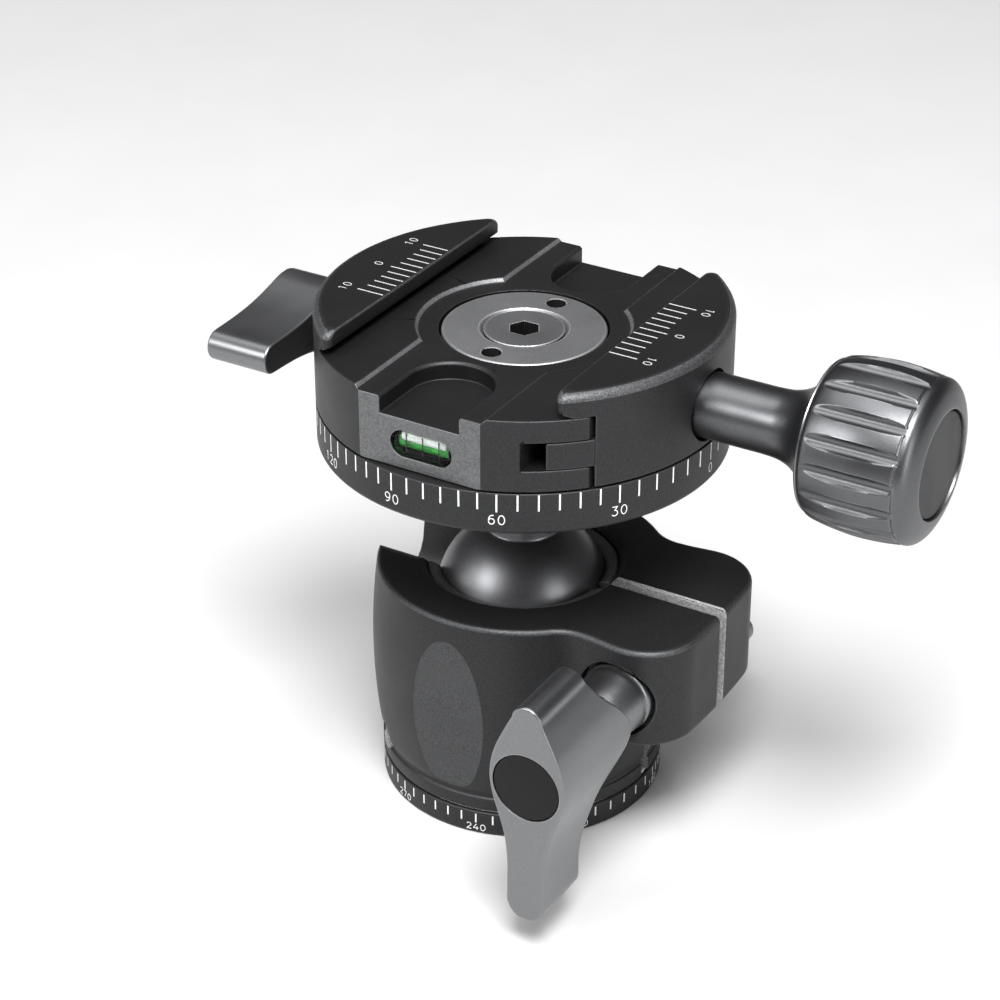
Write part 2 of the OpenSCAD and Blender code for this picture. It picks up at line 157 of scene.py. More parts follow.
# painted highlight: lighter anodised material for the top rounding of the housing, dimmer than the jaw one
BLACK_RIM_HIGHLIGHT = surf("anodised_rim_painted_highlight", (0.066, 0.067, 0.069), rough=0.48, metal=0.85, grain=0.24, bump=0.9, rvar=0.06, cvar=0.35)
ROUGHCUT = surf("anodised_rough", (0.056, 0.057, 0.059), rough=0.55, metal=0.6, grain=0.22, bump=1.0, rvar=0.05, cvar=0.35)
MACHINED = surf("machined_grey_cut", (0.13, 0.132, 0.135), rough=0.5, metal=0.7, grain=0.3, bump=0.7, rvar=0.07, cvar=0.25, edge=0.3, edge_color=(0.3, 0.3, 0.3))
EDGECUT = surf("machined_edge", (0.20, 0.202, 0.206), rough=0.45, metal=0.8, grain=0.25, bump=0.7, rvar=0.08, cvar=0.3)
# painted light: light non-metallic grey on the walls of the clamping slot and the two side counterbores, brightening
# these shaded recesses
SLOT_WALL_PAINTED_LIGHT = surf("slot_wall_painted_light", (0.27, 0.27, 0.27), rough=0.6, metal=0.0, grain=0.3, bump=0.8, rvar=0.08, cvar=0.4)
GUN = surf("gunmetal_satin", (0.205, 0.208, 0.214), rough=0.35, metal=1.0, grain=0.22, bump=0.16, rvar=0.04, cvar=0.06, edge=0.5, edge_color=(0.55, 0.55, 0.56))
KNOB = surf("knob_satin", (0.125, 0.127, 0.132), rough=0.34, metal=1.0, grain=0.24, bump=0.22, rvar=0.04, cvar=0.08, edge=0.4, edge_color=(0.45, 0.45, 0.46))
BALLM = surf("ball_dark_chrome", (0.2, 0.202, 0.21), rough=0.38, metal=1.0, grain=0.5, bump=0.05, rvar=0.03, cvar=0.05)
PLATE = surf("blasted_grey", (0.235, 0.237, 0.243), rough=0.5, metal=0.9, grain=0.26, bump=0.35, rvar=0.04, cvar=0.08, edge=1.6, edge_color=(0.8, 0.8, 0.81))
SCREW = surf("screw_grey", (0.27, 0.272, 0.28), rough=0.42, metal=0.95, grain=0.26, bump=0.25, rvar=0.05, cvar=0.08, edge=1.6, edge_color=(0.8, 0.8, 0.81))
STEEL = surf("turned_steel", (0.52, 0.525, 0.535), rough=0.3, metal=1.0, grain=0.2, bump=0.25, rvar=0.06, edge=0.4, brushed=(1, 1, 6))
DARKSTEEL = surf("blackened_steel", (0.075, 0.077, 0.082), rough=0.4, metal=0.95, grain=0.25, bump=0.3, rvar=0.06, edge=0.5)
SPRINGM = surf("spring_wire", (0.45, 0.45, 0.43), rough=0.32, metal=1.0, grain=0.2, bump=0.2, rvar=0.06, edge=0.3)
POLY = surf("white_polymer", (0.74, 0.73, 0.69), rough=0.5, metal=0.0, grain=0.3, bump=0.15, rvar=0.05, cvar=0.04, edge=0.2)
CAP = surf("matt_black_cap", (0.005, 0.005, 0.0055), rough=0.55, metal=0.0, grain=0.3, bump=0.25, rvar=0.05, cvar=0.15, spec=0.22, edge=0.2, edge_color=(0.05, 0.05, 0.05))
INSERT = surf("knob_insert_dark", (0.032, 0.0325, 0.0345), rough=0.48, metal=0.5, grain=0.26, bump=0.3, rvar=0.05, cvar=0.12, edge=0.3, edge_color=(0.15, 0.15, 0.15))
BRASS = surf("turned_brass", (0.62, 0.43, 0.17), rough=0.33, metal=1.0, grain=0.2, bump=0.25, rvar=0.07, edge=0.3)
MARK = surf("white_marking", (0.74, 0.74, 0.735), rough=0.6, metal=0.0, grain=0.12, bump=0.3, rvar=0.05, cvar=0.1)
MARK_SOFT = surf("white_marking_soft", (0.45, 0.45, 0.445), rough=0.6, metal=0.0, grain=0.12, bump=0.3, rvar=0.05, cvar=0.14)
VIALMARK = surf("vial_marks", (0.006, 0.007, 0.006), rough=0.5, metal=0.0, grain=0.3, bump=0.1, cvar=0.2)
BUBBLE = surf("bubble_white", (0.86, 0.9, 0.87), rough=0.25, metal=0.0, grain=0.4, bump=0.05, cvar=0.03, coat=0.5)
# painted shade: near-black material for the walls of holes, bores, sockets and windows cut into the parts
DEEP_SHADE = surf("painted_recess_shade", (0.005, 0.005, 0.0055), rough=0.6, metal=0.0, grain=0.3, bump=0.3, spec=0.12)


def glassy(name, color, rough=0.05, transmission=1.0, ior=1.47):
    m = bpy.data.materials.new(name)
    m.use_nodes = True
    nt = m.node_tree
    b = nt.nodes["Principled BSDF"]
    tc = nt.nodes.new("ShaderNodeTexCoord")
    n = nt.nodes.new("ShaderNodeTexNoise")
    n.inputs["Scale"].default_value = 700.0
    nt.links.new(tc.outputs["Object"], n.inputs["Vector"])
    r = nt.nodes.new("ShaderNodeMapRange")
    r.inputs["To Min"].default_value = rough
    r.inputs["To Max"].default_value = rough + 0.05
    nt.links.new(n.outputs["Fac"], r.inputs["Value"])
    nt.links.new(r.outputs["Result"], b.inputs["Roughness"])
    c = nt.nodes.new("ShaderNodeMix")
    c.data_type = "RGBA"
    c.inputs["A"].default_value = (*color, 1)
    c.inputs["B"].default_value = (*[v * 0.85 for v in color], 1)
    nt.links.new(n.outputs["Fac"], c.inputs["Factor"])
    nt.links.new(c.outputs["Result"], b.inputs["Base Color"])
    b.inputs["Transmission Weight"].default_value = transmission
    b.inputs["IOR"].default_value = ior
    return m


CLEAR = glassy("vial_clear", (0.93, 0.97, 0.95), ior=1.22)
FLUID = surf("green_fluid", (0.002, 0.30, 0.015), rough=0.35, metal=0.0, grain=1.2, bump=0.1, rvar=0.03, cvar=0.55, coat=0.3)

SLOT_MATS = {"black_anodised": BLACK, "machined_grey": MACHINED, "gunmetal": GUN, "ball_chrome": BALLM, "steel": STEEL,
             "dark_steel": DARKSTEEL, "spring_steel": SPRINGM, "spindle_grey": PLATE, "white_polymer": POLY,
             "black_polymer": CAP, "brass": BRASS, "vial_clear": CLEAR, "level_green": FLUID}
SLOT_OF = {s["node"]: s["material_slot"] for s in frame["record"]["subparts"]}
for nm, ob in frame["nodes"].items():
    ob.data.materials.clear()
    ob.data.materials.append(SLOT_MATS[SLOT_OF[nm]])


# ------------------------------------------------------------------ geometry
def new_obj(name, V, F, mat=None):
    me = bpy.data.meshes.new(name)
    me.from_pydata([(float(x) * S, float(y) * S, float(z) * S) for x, y, z in V], [], [list(map(int, f)) for f in F])
    me.update()
    bm = bmesh.new()
    bm.from_mesh(me)
    bmesh.ops.recalc_face_normals(bm, faces=bm.faces)
    bm.to_mesh(me)
    bm.free()
    o = bpy.data.objects.new(name, me)
    ORIGIN_COLL.objects.link(o)
    if mat is not None:
        for k in (mat if isinstance(mat, (list, tuple)) else [mat]):
            me.materials.append(k)
    return o


def to_axis(a, b, h, axis):
    return (a, b, h) if axis == "Z" else ((h, a, b) if axis == "X" else (b, h, a))


def lathe(name, prof, segs=180, axis="Z", at=(0, 0, 0), mat=None, closed=False):
    V, idx = [], []
    for r, h in prof:
        if abs(r) < 1e-6:
            idx.append([len(V)])
            V.append((0, 0, h))
        else:
            idx.append(list(range(len(V), len(V) + segs)))
            V += [(r * cos(2 * pi * k / segs), r * sin(2 * pi * k / segs), h) for k in range(segs)]
    F = []
    pairs = list(zip(range(len(prof) - 1), range(1, len(prof))))
    if closed:
        pairs.append((len(prof) - 1, 0))
    for i, j in pairs:
        A, B = idx[i], idx[j]
        if len(A) == 1 and len(B) == 1:
            continue
        for k in range(segs):
            k2 = (k + 1) % segs
            if len(A) == 1:
                F.append((A[0], B[k], B[k2]))
            elif len(B) == 1:
                F.append((A[k], A[k2], B[0]))
            else:
                F.append((A[k], A[k2], B[k2], B[k]))
    V = [to_axis(*v, axis) for v in V]
    V = [(x + at[0], y + at[1], z + at[2]) for x, y, z in V]
    return new_obj(name, V, F, mat)


def fillet(pts, r, n=5, closed=True):
    out = []
    P = [np.array(p, float) for p in pts]
    N = len(P)
    for i, p in enumerate(P):
        ri = r[i] if isinstance(r, (list, tuple)) else r
        if (not closed and i in (0, N - 1)) or ri <= 0:
            out.append(tuple(p))
            continue
        a, b = P[i - 1], P[(i + 1) % N]
        v1, v2 = a - p, b - p
        l1, l2 = np.linalg.norm(v1), np.linalg.norm(v2)
        if l1 < 1e-9 or l2 < 1e-9:
            out.append(tuple(p))
            continue
        v1, v2 = v1 / l1, v2 / l2
        ang = math.acos(max(-1, min(1, float(v1 @ v2))))
        if ang > pi - 0.02:
            out.append(tuple(p))
            continue
        t = min(ri / tan(ang / 2), 0.48 * l1, 0.48 * l2)
        rr = t * tan(ang / 2)
        bis = (v1 + v2) / np.linalg.norm(v1 + v2)
        c = p + bis * rr / sin(ang / 2)
        s, e = p + v1 * t - c, p + v2 * t - c
        a0, a1 = atan2(s[1], s[0]), atan2(e[1], e[0])
        d = (a1 - a0 + pi) % (2 * pi) - pi
        out += [tuple(c + rr * np.array([cos(a0 + d * k / n), sin(a0 + d * k / n)])) for k in range(n + 1)]
    return out


def spline(pts, n=8, closed=True):
    P = np.array(pts, float)
    N = len(P)
    out = []
    rng = range(N) if closed else range(N - 1)
    for i in rng:
        p0 = P[(i - 1) % N] if closed or i > 0 else 2 * P[0] - P[1]
        p1, p2 = P[i], P[(i + 1) % N]
        p3 = P[(i + 2) % N] if closed or i + 2 < N else 2 * P[-1] - P[-2]
        t1 = max(np.linalg.norm(p1 - p0), 1e-6) ** 0.5
        t2 = max(np.linalg.norm(p2 - p1), 1e-6) ** 0.5
        t3 = max(np.linalg.norm(p3 - p2), 1e-6) ** 0.5
        m1 = t2 * ((p1 - p0) / t1 - (p2 - p0) / (t1 + t2) + (p2 - p1) / t2)
        m2 = t2 * ((p2 - p1) / t2 - (p3 - p1) / (t2 + t3) + (p3 - p2) / t3)
        for k in range(n):
            u = k / n
            h = (2 * u ** 3 - 3 * u ** 2 + 1) * p1 + (u ** 3 - 2 * u ** 2 + u) * m1 + (-2 * u ** 3 + 3 * u ** 2) * p2 + (u ** 3 - u ** 2) * m2
            out.append(tuple(h))
    if not closed:
        out.append(tuple(P[-1]))
    return out


def inset(outline, d):
    """Moves a closed outline inwards by d (number or one value per point)."""
    P = np.array(outline, float)
    area = 0.5 * np.sum(P[:, 0] * np.roll(P[:, 1], -1) - np.roll(P[:, 0], -1) * P[:, 1])
    sgn = 1.0 if area > 0 else -1.0
    t = np.roll(P, -1, 0) - P
    t /= np.maximum(np.linalg.norm(t, axis=1, keepdims=True), 1e-9)
    nrm = sgn * np.stack([-t[:, 1], t[:, 0]], 1)
    nv = nrm + np.roll(nrm, 1, 0)
    ln = np.maximum(np.linalg.norm(nv, axis=1, keepdims=True), 1e-6)
    nv /= ln
    cosang = np.clip(np.sum(nv * nrm, 1, keepdims=True), 0.5, 1)
    d = np.array(d, float)
    d = d[:, None] if d.ndim else d
    return P + nv * d / cosang


def loft(name, rings, cap=True, mat=None, closed=False):
    V, F = [], []
    n = len(rings[0])
    for r in rings:
        V += [tuple(p) for p in r]
    m = len(rings)
    for i in range(m if closed else m - 1):
        a, b = i * n, ((i + 1) % m) * n
        for k in range(n):
            k2 = (k + 1) % n
            F.append((a + k, a + k2, b + k2, b + k))
    if cap and not closed:
        F.append(tuple(range(n))[::-1])
        F.append(tuple(range((m - 1) * n, m * n)))
    return new_obj(name, V, F, mat)


def place(u, v, h, axis, at):
    if axis == "Z":
        p = (u, v, h)
    elif axis == "X":
        p = (h, u, v)
    else:
        p = (u, h, v)
    return (p[0] + at[0], p[1] + at[1], p[2] + at[2])


def prism(name, outline, a, b, axis="Z", at=(0, 0, 0), bev=0.0, n=4, mat=None, bev2=None):
    """Extrudes an outline from a to b with rounded end edges."""
    rings = []
    bev2 = bev if bev2 is None else bev2

    def add(off, h):
        q = inset(outline, off) if off else np.array(outline, float)
        rings.append([place(x, y, h, axis, at) for x, y in q])

    if bev > 0:
        for k in range(n + 1):
            t = pi / 2 * k / n
            add(bev * (1 - sin(t)), a + bev * (1 - cos(t)))
    else:
        add(0, a)
    if bev2 > 0:
        for k in range(n + 1):
            t = pi / 2 * k / n
            add(bev2 * (1 - cos(t)), b - bev2 * (1 - sin(t)))
    else:
        add(0, b)
    return loft(name, rings, True, mat)


def box(x0, x1, y0, y1, z0, z1, mat=None, name="c"):
    V = [(x, y, z) for x in (x0, x1) for y in (y0, y1) for z in (z0, z1)]
    F = [(0, 1, 3, 2), (4, 6, 7, 5), (0, 4, 5, 1), (2, 3, 7, 6), (0, 2, 6, 4), (1, 5, 7, 3)]
    return new_obj(name, V, F, mat)


def cyl(a, b, r, axis="Z", at=(0, 0, 0), segs=96, mat=None, r2=None):
    return lathe("c", [(0, a), (r, a), (r if r2 is None else r2, b), (0, b)], segs, axis, at, mat)


def bake(o):
    bpy.context.view_layer.update()
    dg = bpy.context.evaluated_depsgraph_get()
    me = bpy.data.meshes.new_from_object(o.evaluated_get(dg))
    o.modifiers.clear()
    old = o.data
    o.data = me
    bpy.data.meshes.remove(old)


def boolean(o, others, op="DIFFERENCE"):
    for c in others:
        m = o.modifiers.new("b", "BOOLEAN")
        m.operation = op
        m.solver = "EXACT"
        m.object = c
        m.material_mode = "TRANSFER"
    bake(o)
    for c in others:
        d = c.data
        bpy.data.objects.remove(c)
        bpy.data.meshes.remove(d)


def tidy(o, dist=0.0000015):
    bm = bmesh.new()
    bm.from_mesh(o.data)
    bmesh.ops.remove_doubles(bm, verts=bm.verts, dist=dist)
    bmesh.ops.dissolve_degenerate(bm, edges=bm.edges, dist=dist)
    bm.to_mesh(o.data)
    bm.free()


def bevel(o, w, seg=3, ang=32.0, clamp=False, merge=0.0015):
    tidy(o, merge * S)
    m = o.modifiers.new("bv", "BEVEL")
    m.width = w * S
    m.segments = seg
    m.limit_method = "ANGLE"
    m.angle_limit = radians(ang)
    m.use_clamp_overlap = clamp
    m.loop_slide = True
    bake(o)


def done(o, body, nodes=(), ang=38.0):
    me = o.data
    me.polygons.foreach_set("use_smooth", [True] * len(me.polygons))
    me.set_sharp_from_angle(angle=radians(ang))
    m = o.modifiers.new("wn", "WEIGHTED_NORMAL")
    m.keep_sharp = True
    m.weight = 50
    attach(o, body)
    if nodes:
        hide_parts(*nodes)
    return o


# ------------------------------------------------------------------ base
o = lathe("base_flange", fillet([(4.5, 0), (21.4, 0), (21.4, 3.9), (16.5, 3.9), (16.5, 6.75), (14.3, 6.75), (14.3, 10.05), (16.5, 10.05), (16.5, 12.0), (4.5, 12.0), (4.5, 8.5), (6.5, 8.5), (6.5, 0.02), (4.5, 0.02)][1:12] + [(6.5, 0)],
          [0.45, 0.28, 0.0, 0, 0, 0, 0, 0.4, 0, 0, 0, 0]), 256, mat=BLACK, closed=True)
done(o, "base", ["base_plate"])

# ------------------------------------------------------------------ housing
ARC = 103.6


def barrel(z):
    return 22.65 - (ARC - sqrt(ARC * ARC - (z - 22.8) ** 2))


def lug_polar(thetas, R):
    """Outline of the clamping lug in polar form, blended into a barrel of radius R."""
    rb = 6.6
    cx, cy = sqrt((R + rb) ** 2 - 21.8 ** 2), 21.8
    a0 = atan2(-cy, -cx)
    pts = []
    for k in range(17):  # concave blend from the barrel
        a = a0 + (-pi / 2 + 0.12 - a0) * k / 16
        pts.append((cx + rb * cos(a), cy + rb * sin(a)))
    x1, y1 = pts[-1]
    for k in range(1, 9):  # easing into the flat side
        t = k / 8
        x = x1 + (25.15 - x1) * t
        pts.append((x, y1 + (15.9 - y1) * (3 * t * t - 2 * t ** 3)))
    for k in range(1, 21):
        a = pi / 2 - (pi / 2) * k / 20
        pts.append((25.15 + 8 * cos(a), 7.9 + 8 * sin(a)))
    for k in range(1, 9):
        y = 7.9 * (1 - k / 8)
        pts.append((33.15 + 0.22 * (1 - (y / 7.9) ** 2), y))
    P = np.array(pts)
    th = np.arctan2(P[:, 1], P[:, 0])
    rr = np.hypot(P[:, 0], P[:, 1])
    order = np.argsort(th)
    th, rr = th[order], rr[order]
    a = np.abs((np.array(thetas) + pi) % (2 * pi) - pi)
    return np.interp(a, th, rr, right=0.0)


NT = 640
TH = np.linspace(0, 2 * pi, NT, endpoint=False)
LUG = {}


def lug(z):
    R = barrel(z)
    if R not in LUG:
        LUG[R] = lug_polar(TH, R)
    return np.maximum(R, LUG[R])


def ring_xy(R):
    return np.stack([R * np.cos(TH), R * np.sin(TH)], 1)


def ring_at(xy, z):
    return [(x, y, z) for x, y in xy]


TOP = 36.5
rings = []
inner = [(16.55, 4.35), (16.55, 12.35), (15.2, 12.35), (15.2, 14.05), (14.4, 14.05), (14.4, TOP - 1.2), (15.35, TOP)]
for r, z in fillet([(16.55, 4.35), (21.42, 4.35), (21.42, 6.45), (21.12, 6.65), (21.22, 7.4)], [0, 0.25, 0.25, 0.25, 0], 4, closed=False):
    rings.append(ring_at(ring_xy(np.full(NT, r)), z))
for z in np.linspace(7.9, 20.2, 15):
    b = min(barrel(z), 21.22 + (z - 7.4) * 0.55)
    rings.append(ring_at(ring_xy(np.full(NT, b)), z))
zb = 20.7
bz = barrel(zb)
rings.append(ring_at(ring_xy(np.full(NT, bz)), zb))
f = 0.7
for k in range(6):
    t = pi / 2 * k / 5
    z = zb + f * (1 - cos(t))
    full = lug(z)
    w = np.clip((full - barrel(z)) / f, 0, 1)
    xy = inset(ring_xy(full), f * (1 - sin(t)) * w)
    rings.append(ring_at(xy, z))
for z in np.linspace(zb + 1.2, TOP - 1.2, 16):
    rings.append(ring_at(ring_xy(lug(z)), z))
f = 0.95
for k in range(7):
    t = pi / 2 * k / 6
    z = TOP - f + f * sin(t)
    full = ring_xy(lug(TOP - f))
    rings.append(ring_at(inset(full, f * (1 - cos(t))), z))
for r, z in fillet([(16.2, TOP), (15.45, TOP), (14.4, TOP - 1.2), (14.4, 14.05), (15.2, 14.05), (15.2, 12.35), (16.55, 12.35)], [0, 0.15, 0.15, 0, 0, 0, 0], 3, closed=False):
    rings.append(ring_at(ring_xy(np.full(NT, r)), z))
hous = loft("housing_shell", rings, cap=False, mat=[BLACK, ROUGHCUT, EDGECUT, DEEP_SHADE, SLOT_WALL_PAINTED_LIGHT], closed=True)

cutters = []
# clamping slot
slot2d = [(-1.0, 3.0), (1.0, 3.0), (1.0, TOP - 0.35), (1.4, TOP + 0.05), (1.4, 40), (-1.15, 40), (-1.15, TOP + 0.03), (-1.0, TOP - 0.12)]
# painted light: the slot walls take the light slot-wall grey
cutters.append(loft("c", [[(12.0, y, z) for y, z in slot2d], [(36.0, y, z) for y, z in slot2d]], mat=SLOT_WALL_PAINTED_LIGHT))
# drop notch
nw = 6.1
u = [(nw * cos(a), 30 + nw * sin(a)) for a in np.linspace(0, -pi, 41)]
left = [(-nw, 32.7)] + [(-9.9 + 3.8 * cos(a), 32.7 + 3.8 * sin(a)) for a in np.linspace(0, pi / 2, 12)][1:] + [(-9.9, 41)]
right = [(9.9, 41)] + [(9.9 - 3.8 * cos(a), 32.7 + 3.8 * sin(a)) for a in np.linspace(pi / 2, 0, 12)][:-1] + [(nw, 32.7)]
prof = u + left + right
cutters.append(loft("c", [[(-32.0, y, z) for y, z in prof], [(-10.0, y, z) for y, z in prof]], mat=BLACK))
# long oval flat on the front
face = [(-22.65 + (z - 22.8) ** 2 / 207.2 + 0.795 - 0.004427 * (z - 19.6) ** 2, z) for z in np.linspace(7.0, 34.5, 60)]
oval = face + [(-30, 34.5), (-30, 7.0)]
cutters.append(loft("c", [[(-8.5, y, z) for y, z in oval], [(7.5, y, z) for y, z in oval]], mat=ROUGHCUT))
# bolt hole with its counterbore, nut pocket
cutters.append(cyl(-20, 20, 3.3, "Y", (24.1, 0, 27.6), 64, BLACK))
cutters.append(cyl(-20, -13.4, 5.9, "Y", (24.1, 0, 27.6), 96, BLACK))
cutters.append(cyl(9.4, 20, 5.0, "Y", (24.1, 0, 27.6), 96, BLACK))
# painted shade and painted light: the side holes take the near-black recess material, their counterbores the light
# slot-wall grey
for a in (224, 316):
    for r0, r1, rr, mt in ((14, 21, 2.5, DEEP_SHADE), (20.3, 26, 3.0, SLOT_WALL_PAINTED_LIGHT)):
        c = cyl(r0, r1, rr, "X", (0, 0, 8.4), 64, mt)
        c.data.transform(Matrix.Rotation(radians(a), 4, "Z"))
        cutters.append(c)
cutters.append(cyl(14, 19, 1.5, "Y", (0, 0, 8.4), 48, DEEP_SHADE))
cutters.append(cyl(18.5, 26, 2.55, "Y", (0, 0, 8.4), 48, BLACK))
cutters.append(cyl(21.2, 26, 4.0, "Y", (0, 0, 8.4), 64, BLACK))
boolean(hous, cutters)
bevel(hous, 0.16, 2, 36, merge=0.02)
# painted highlight: faces of the housing's top rounding take the lighter rim material
hous.data.materials.append(BLACK_RIM_HIGHLIGHT)
mats = [m.name for m in hous.data.materials]
keep = (mats.index(BLACK.name), mats.index(BLACK_TOP_SHADE.name) if BLACK_TOP_SHADE.name in mats else -1)
for p in hous.data.polygons:
    if p.material_index in keep and 0.38 < p.normal.z < 0.86 and p.center.z > (TOP - 1.6) * S:
        p.material_index = len(mats) - 1
done(hous, "housing", ["ball_housing"])

# liner ring
prof = [(14.38, 22.9), (14.38, 34.95)]
prof += [(13.9, 35.3), (12.9, 35.0)] + [(13.07 * sin(a), 30 + 13.07 * cos(a)) for a in np.linspace(math.acos(4.6 / 13.07), math.acos(-7.1 / 13.07), 24)]
lin = lathe("socket_liner", prof, 200, mat=[EDGECUT, BLACK], closed=True)
cut = [box(8, 16, -1, 1, 20, 40, EDGECUT)]
cut.append(loft("c", [[(-16.0, y, z) for y, z in u + left + right], [(-8.0, y, z) for y, z in u + left + right]], mat=EDGECUT))
boolean(lin, cut)
bevel(lin, 0.12, 2, 40)
done(lin, "housing", ["upper_liner"])

# ------------------------------------------------------------------ ball
prof = [(0, 30 - 13.0)] + [(13.0 * sin(a), 30 - 13.0 * cos(a)) for a in np.linspace(0, pi, 97)[1:] if not (cos(a) < 0 and 13.0 * sin(a) < 6.1)]
zn = 30 + sqrt(169 - 36)
prof += fillet([prof[-1], (5.5, zn + 0.2), (5.5, 44.0)], [0, 0.5, 0], 5, closed=False)[1:]
prof += [(5.5, 57.1), (4.5, 57.1), (4.5, 60.5), (3.0, 60.5), (3.0, 50.0), (0, 50.0)]
o = lathe("ball_and_neck", prof, 240, mat=BALLM)
done(o, "ball", ["ball"], 30)

prof = fillet([(30, 57.1), (30, 63.55), (24, 63.55), (24, 63.0), (14, 63.0), (14, 63.55), (8.6, 63.55), (8.6, 60.5), (4.5, 60.5), (4.5, 57.1)],
              [0.9, 0.12, 0, 0, 0, 0, 0, 0, 0, 0], 6)
o = lathe("degree_ring", prof, 360, mat=BLACK, closed=True)
done(o, "ball", ["pan_ring"])

# spindle with its top plate
prof = fillet([(8.6, 60.5), (8.6, 71.0), (11.85, 71.0), (11.85, 73.95), (6.45, 73.95), (6.15, 73.6), (3.3, 70.75), (3.0, 70.5), (3.0, 60.5)], [0, 0, 0.1, 0.3, 0.1, 0, 0, 0, 0], 4)
sp = lathe("clamp_spindle", prof, 240, mat=[PLATE, DEEP_SHADE], closed=True)
# painted shade: the two spanner holes take the near-black recess material
boolean(sp, [cyl(72.0, 76, 1.4, "Z", (0, s * 9.2, 0), 64, DEEP_SHADE) for s in (-1, 1)])
bevel(sp, 0.12, 2, 50)
done(sp, "ball", ["pan_spindle"])
prof = fillet([(0, 51.0), (3.0, 51.0), (3.0, 70.75), (5.85, 73.6), (5.85, 73.85), (0, 73.85)], [0, 0.3, 0, 0.1, 0.2, 0], 4, closed=False)
sc = lathe("centre_screw_m6", prof, 160, mat=[SCREW, DEEP_SHADE])
hexo = [(4.0 / sqrt(3) * cos(radians(60 * k)), 4.0 / sqrt(3) * sin(radians(60 * k))) for k in range(6)]
# painted shade: the hex socket takes the near-black recess material
boolean(sc, [loft("c", [[(x, y, 71.2) for x, y in hexo], [(x, y, 76.0) for x, y in hexo]], mat=DEEP_SHADE)])
bevel(sc, 0.1, 2, 40)
done(sc, "ball", ["centre_screw"])

# ------------------------------------------------------------------ clamp
JT = 78.25
FL = 74.65


def dee(xc, r_in, rc, x_in=0.0, n_arc=150, n_ch=50, n_f=10):
    """Outline of the part of the disc beyond x = xc, its two tips rounded by rc."""
    R = 30.0 - r_in
    x0 = xc + x_in
    cx = x0 + rc
    cy = sqrt((R - rc) ** 2 - cx * cx)
    a_arc = atan2(cy, cx)
    pts = [(R * cos(a), R * sin(a)) for a in np.linspace(-a_arc, a_arc, n_arc)]
    pts += [(cx + rc * cos(a), cy + rc * sin(a)) for a in np.linspace(a_arc, pi, n_f + 1)[1:]]
    pts += [(x0, y) for y in np.linspace(cy, -cy, n_ch)[1:-1]]
    pts += [(cx + rc * cos(a), -cy + rc * sin(a)) for a in np.linspace(-pi, -a_arc, n_f + 1)[:-1]]
    return pts


def lip(side, xc, levels, mats):
    """Jaw lip: inset levels below, then the large rounding of the rim and the small one of the inner edge."""
    fr, fi = 1.35, 0.3
    rings = [[(side * x, y, z) for x, y in dee(xc, i, 0.95)] for z, i in levels]
    for k in range(11):
        t = pi / 2 * k / 10
        z = JT - fr + fr * sin(t)
        xi = fi - sqrt(max(fi * fi - (z - JT + fi) ** 2, 0.0)) if z > JT - fi else 0.0
        rings.append([(side * x, y, z) for x, y in dee(xc, fr * (1 - cos(t)), 0.95, xi)])
    return loft("c", rings, mat=mats)


MID = [(30, 65.3), (30, 66.6), (30, 71.75), (30, 73.1)]
prof = fillet([(0, 63.75), (30, 63.75)] + MID + [(30, FL), (0, FL)], [0, 0.35] + [0] * 6, 8, closed=False)
cb = lathe("clamp_base", prof, 360, mat=[BLACK, BLACK_TOP_SHADE, EDGECUT, MACHINED, DEEP_SHADE])
boolean(cb, [lip(-1, 17.7, [(74.2, 0.06), (74.6, 0.06), (74.65, 0.0), (75.4, 0.0), (76.2, 0.0)], BLACK)], "UNION")
cut = [box(21.92, 42, -40, 40, 60, 90, BLACK)]
ch = fillet([(-20.75, FL), (-17.75, 75.95), (-17.7, 76.2), (-14, 76.2), (-14, FL)], [0.1, 0.2, 0, 0, 0], 3)
cut.append(loft("c", [[(x, -40, z) for x, z in ch], [(x, 40, z) for x, z in ch]], mat=BLACK_TOP_SHADE))
cut.append(loft("c", [[(x, -40, z) for x, z in ((-9.85, 74.05), (9.85, 74.05), (9.85, 76), (-9.85, 76))], [(x, 40, z) for x, z in ((-9.85, 74.05), (9.85, 74.05), (9.85, 76), (-9.85, 76))]], mat=BLACK_TOP_SHADE))
cut.append(cyl(74.05, 76, 15.05, segs=240, mat=BLACK_TOP_SHADE))
# lit chamfers along the relief channel, its round part and both pockets
for s in (-1, 1):
    tri = [(s * 9.6, 74.6), (s * 9.85, 74.15), (s * 10.5, 74.8), (s * 9.6, 75.4)]
    cut.append(loft("c", [[(x, -40, z) for x, z in tri], [(x, 40, z) for x, z in tri]], mat=EDGECUT))
cut.append(lathe("c", [(14.7, 74.6), (15.05, 74.15), (15.7, 74.8), (14.7, 75.4)], 240, mat=EDGECUT, closed=True))


def pocket(w, z, y0=20.4):
    return [(w * cos(a), y0 - w * sin(a), z) for a in np.linspace(0, pi, 41)] + [(-w, 33, z), (w, 33, z)]


for s in (-1, 1):
    cut.append(loft("c", [[(x, s * y, z) for x, y, z in pocket(6.3, 71.45)], [(x, s * y, z) for x, y, z in pocket(6.3, 80)]], mat=BLACK_TOP_SHADE))
    cut.append(loft("c", [[(x, s * y, z) for x, y, z in pocket(6.25, 73.65)], [(x, s * y, z) for x, y, z in pocket(6.75, 74.15)]], mat=BLACK))
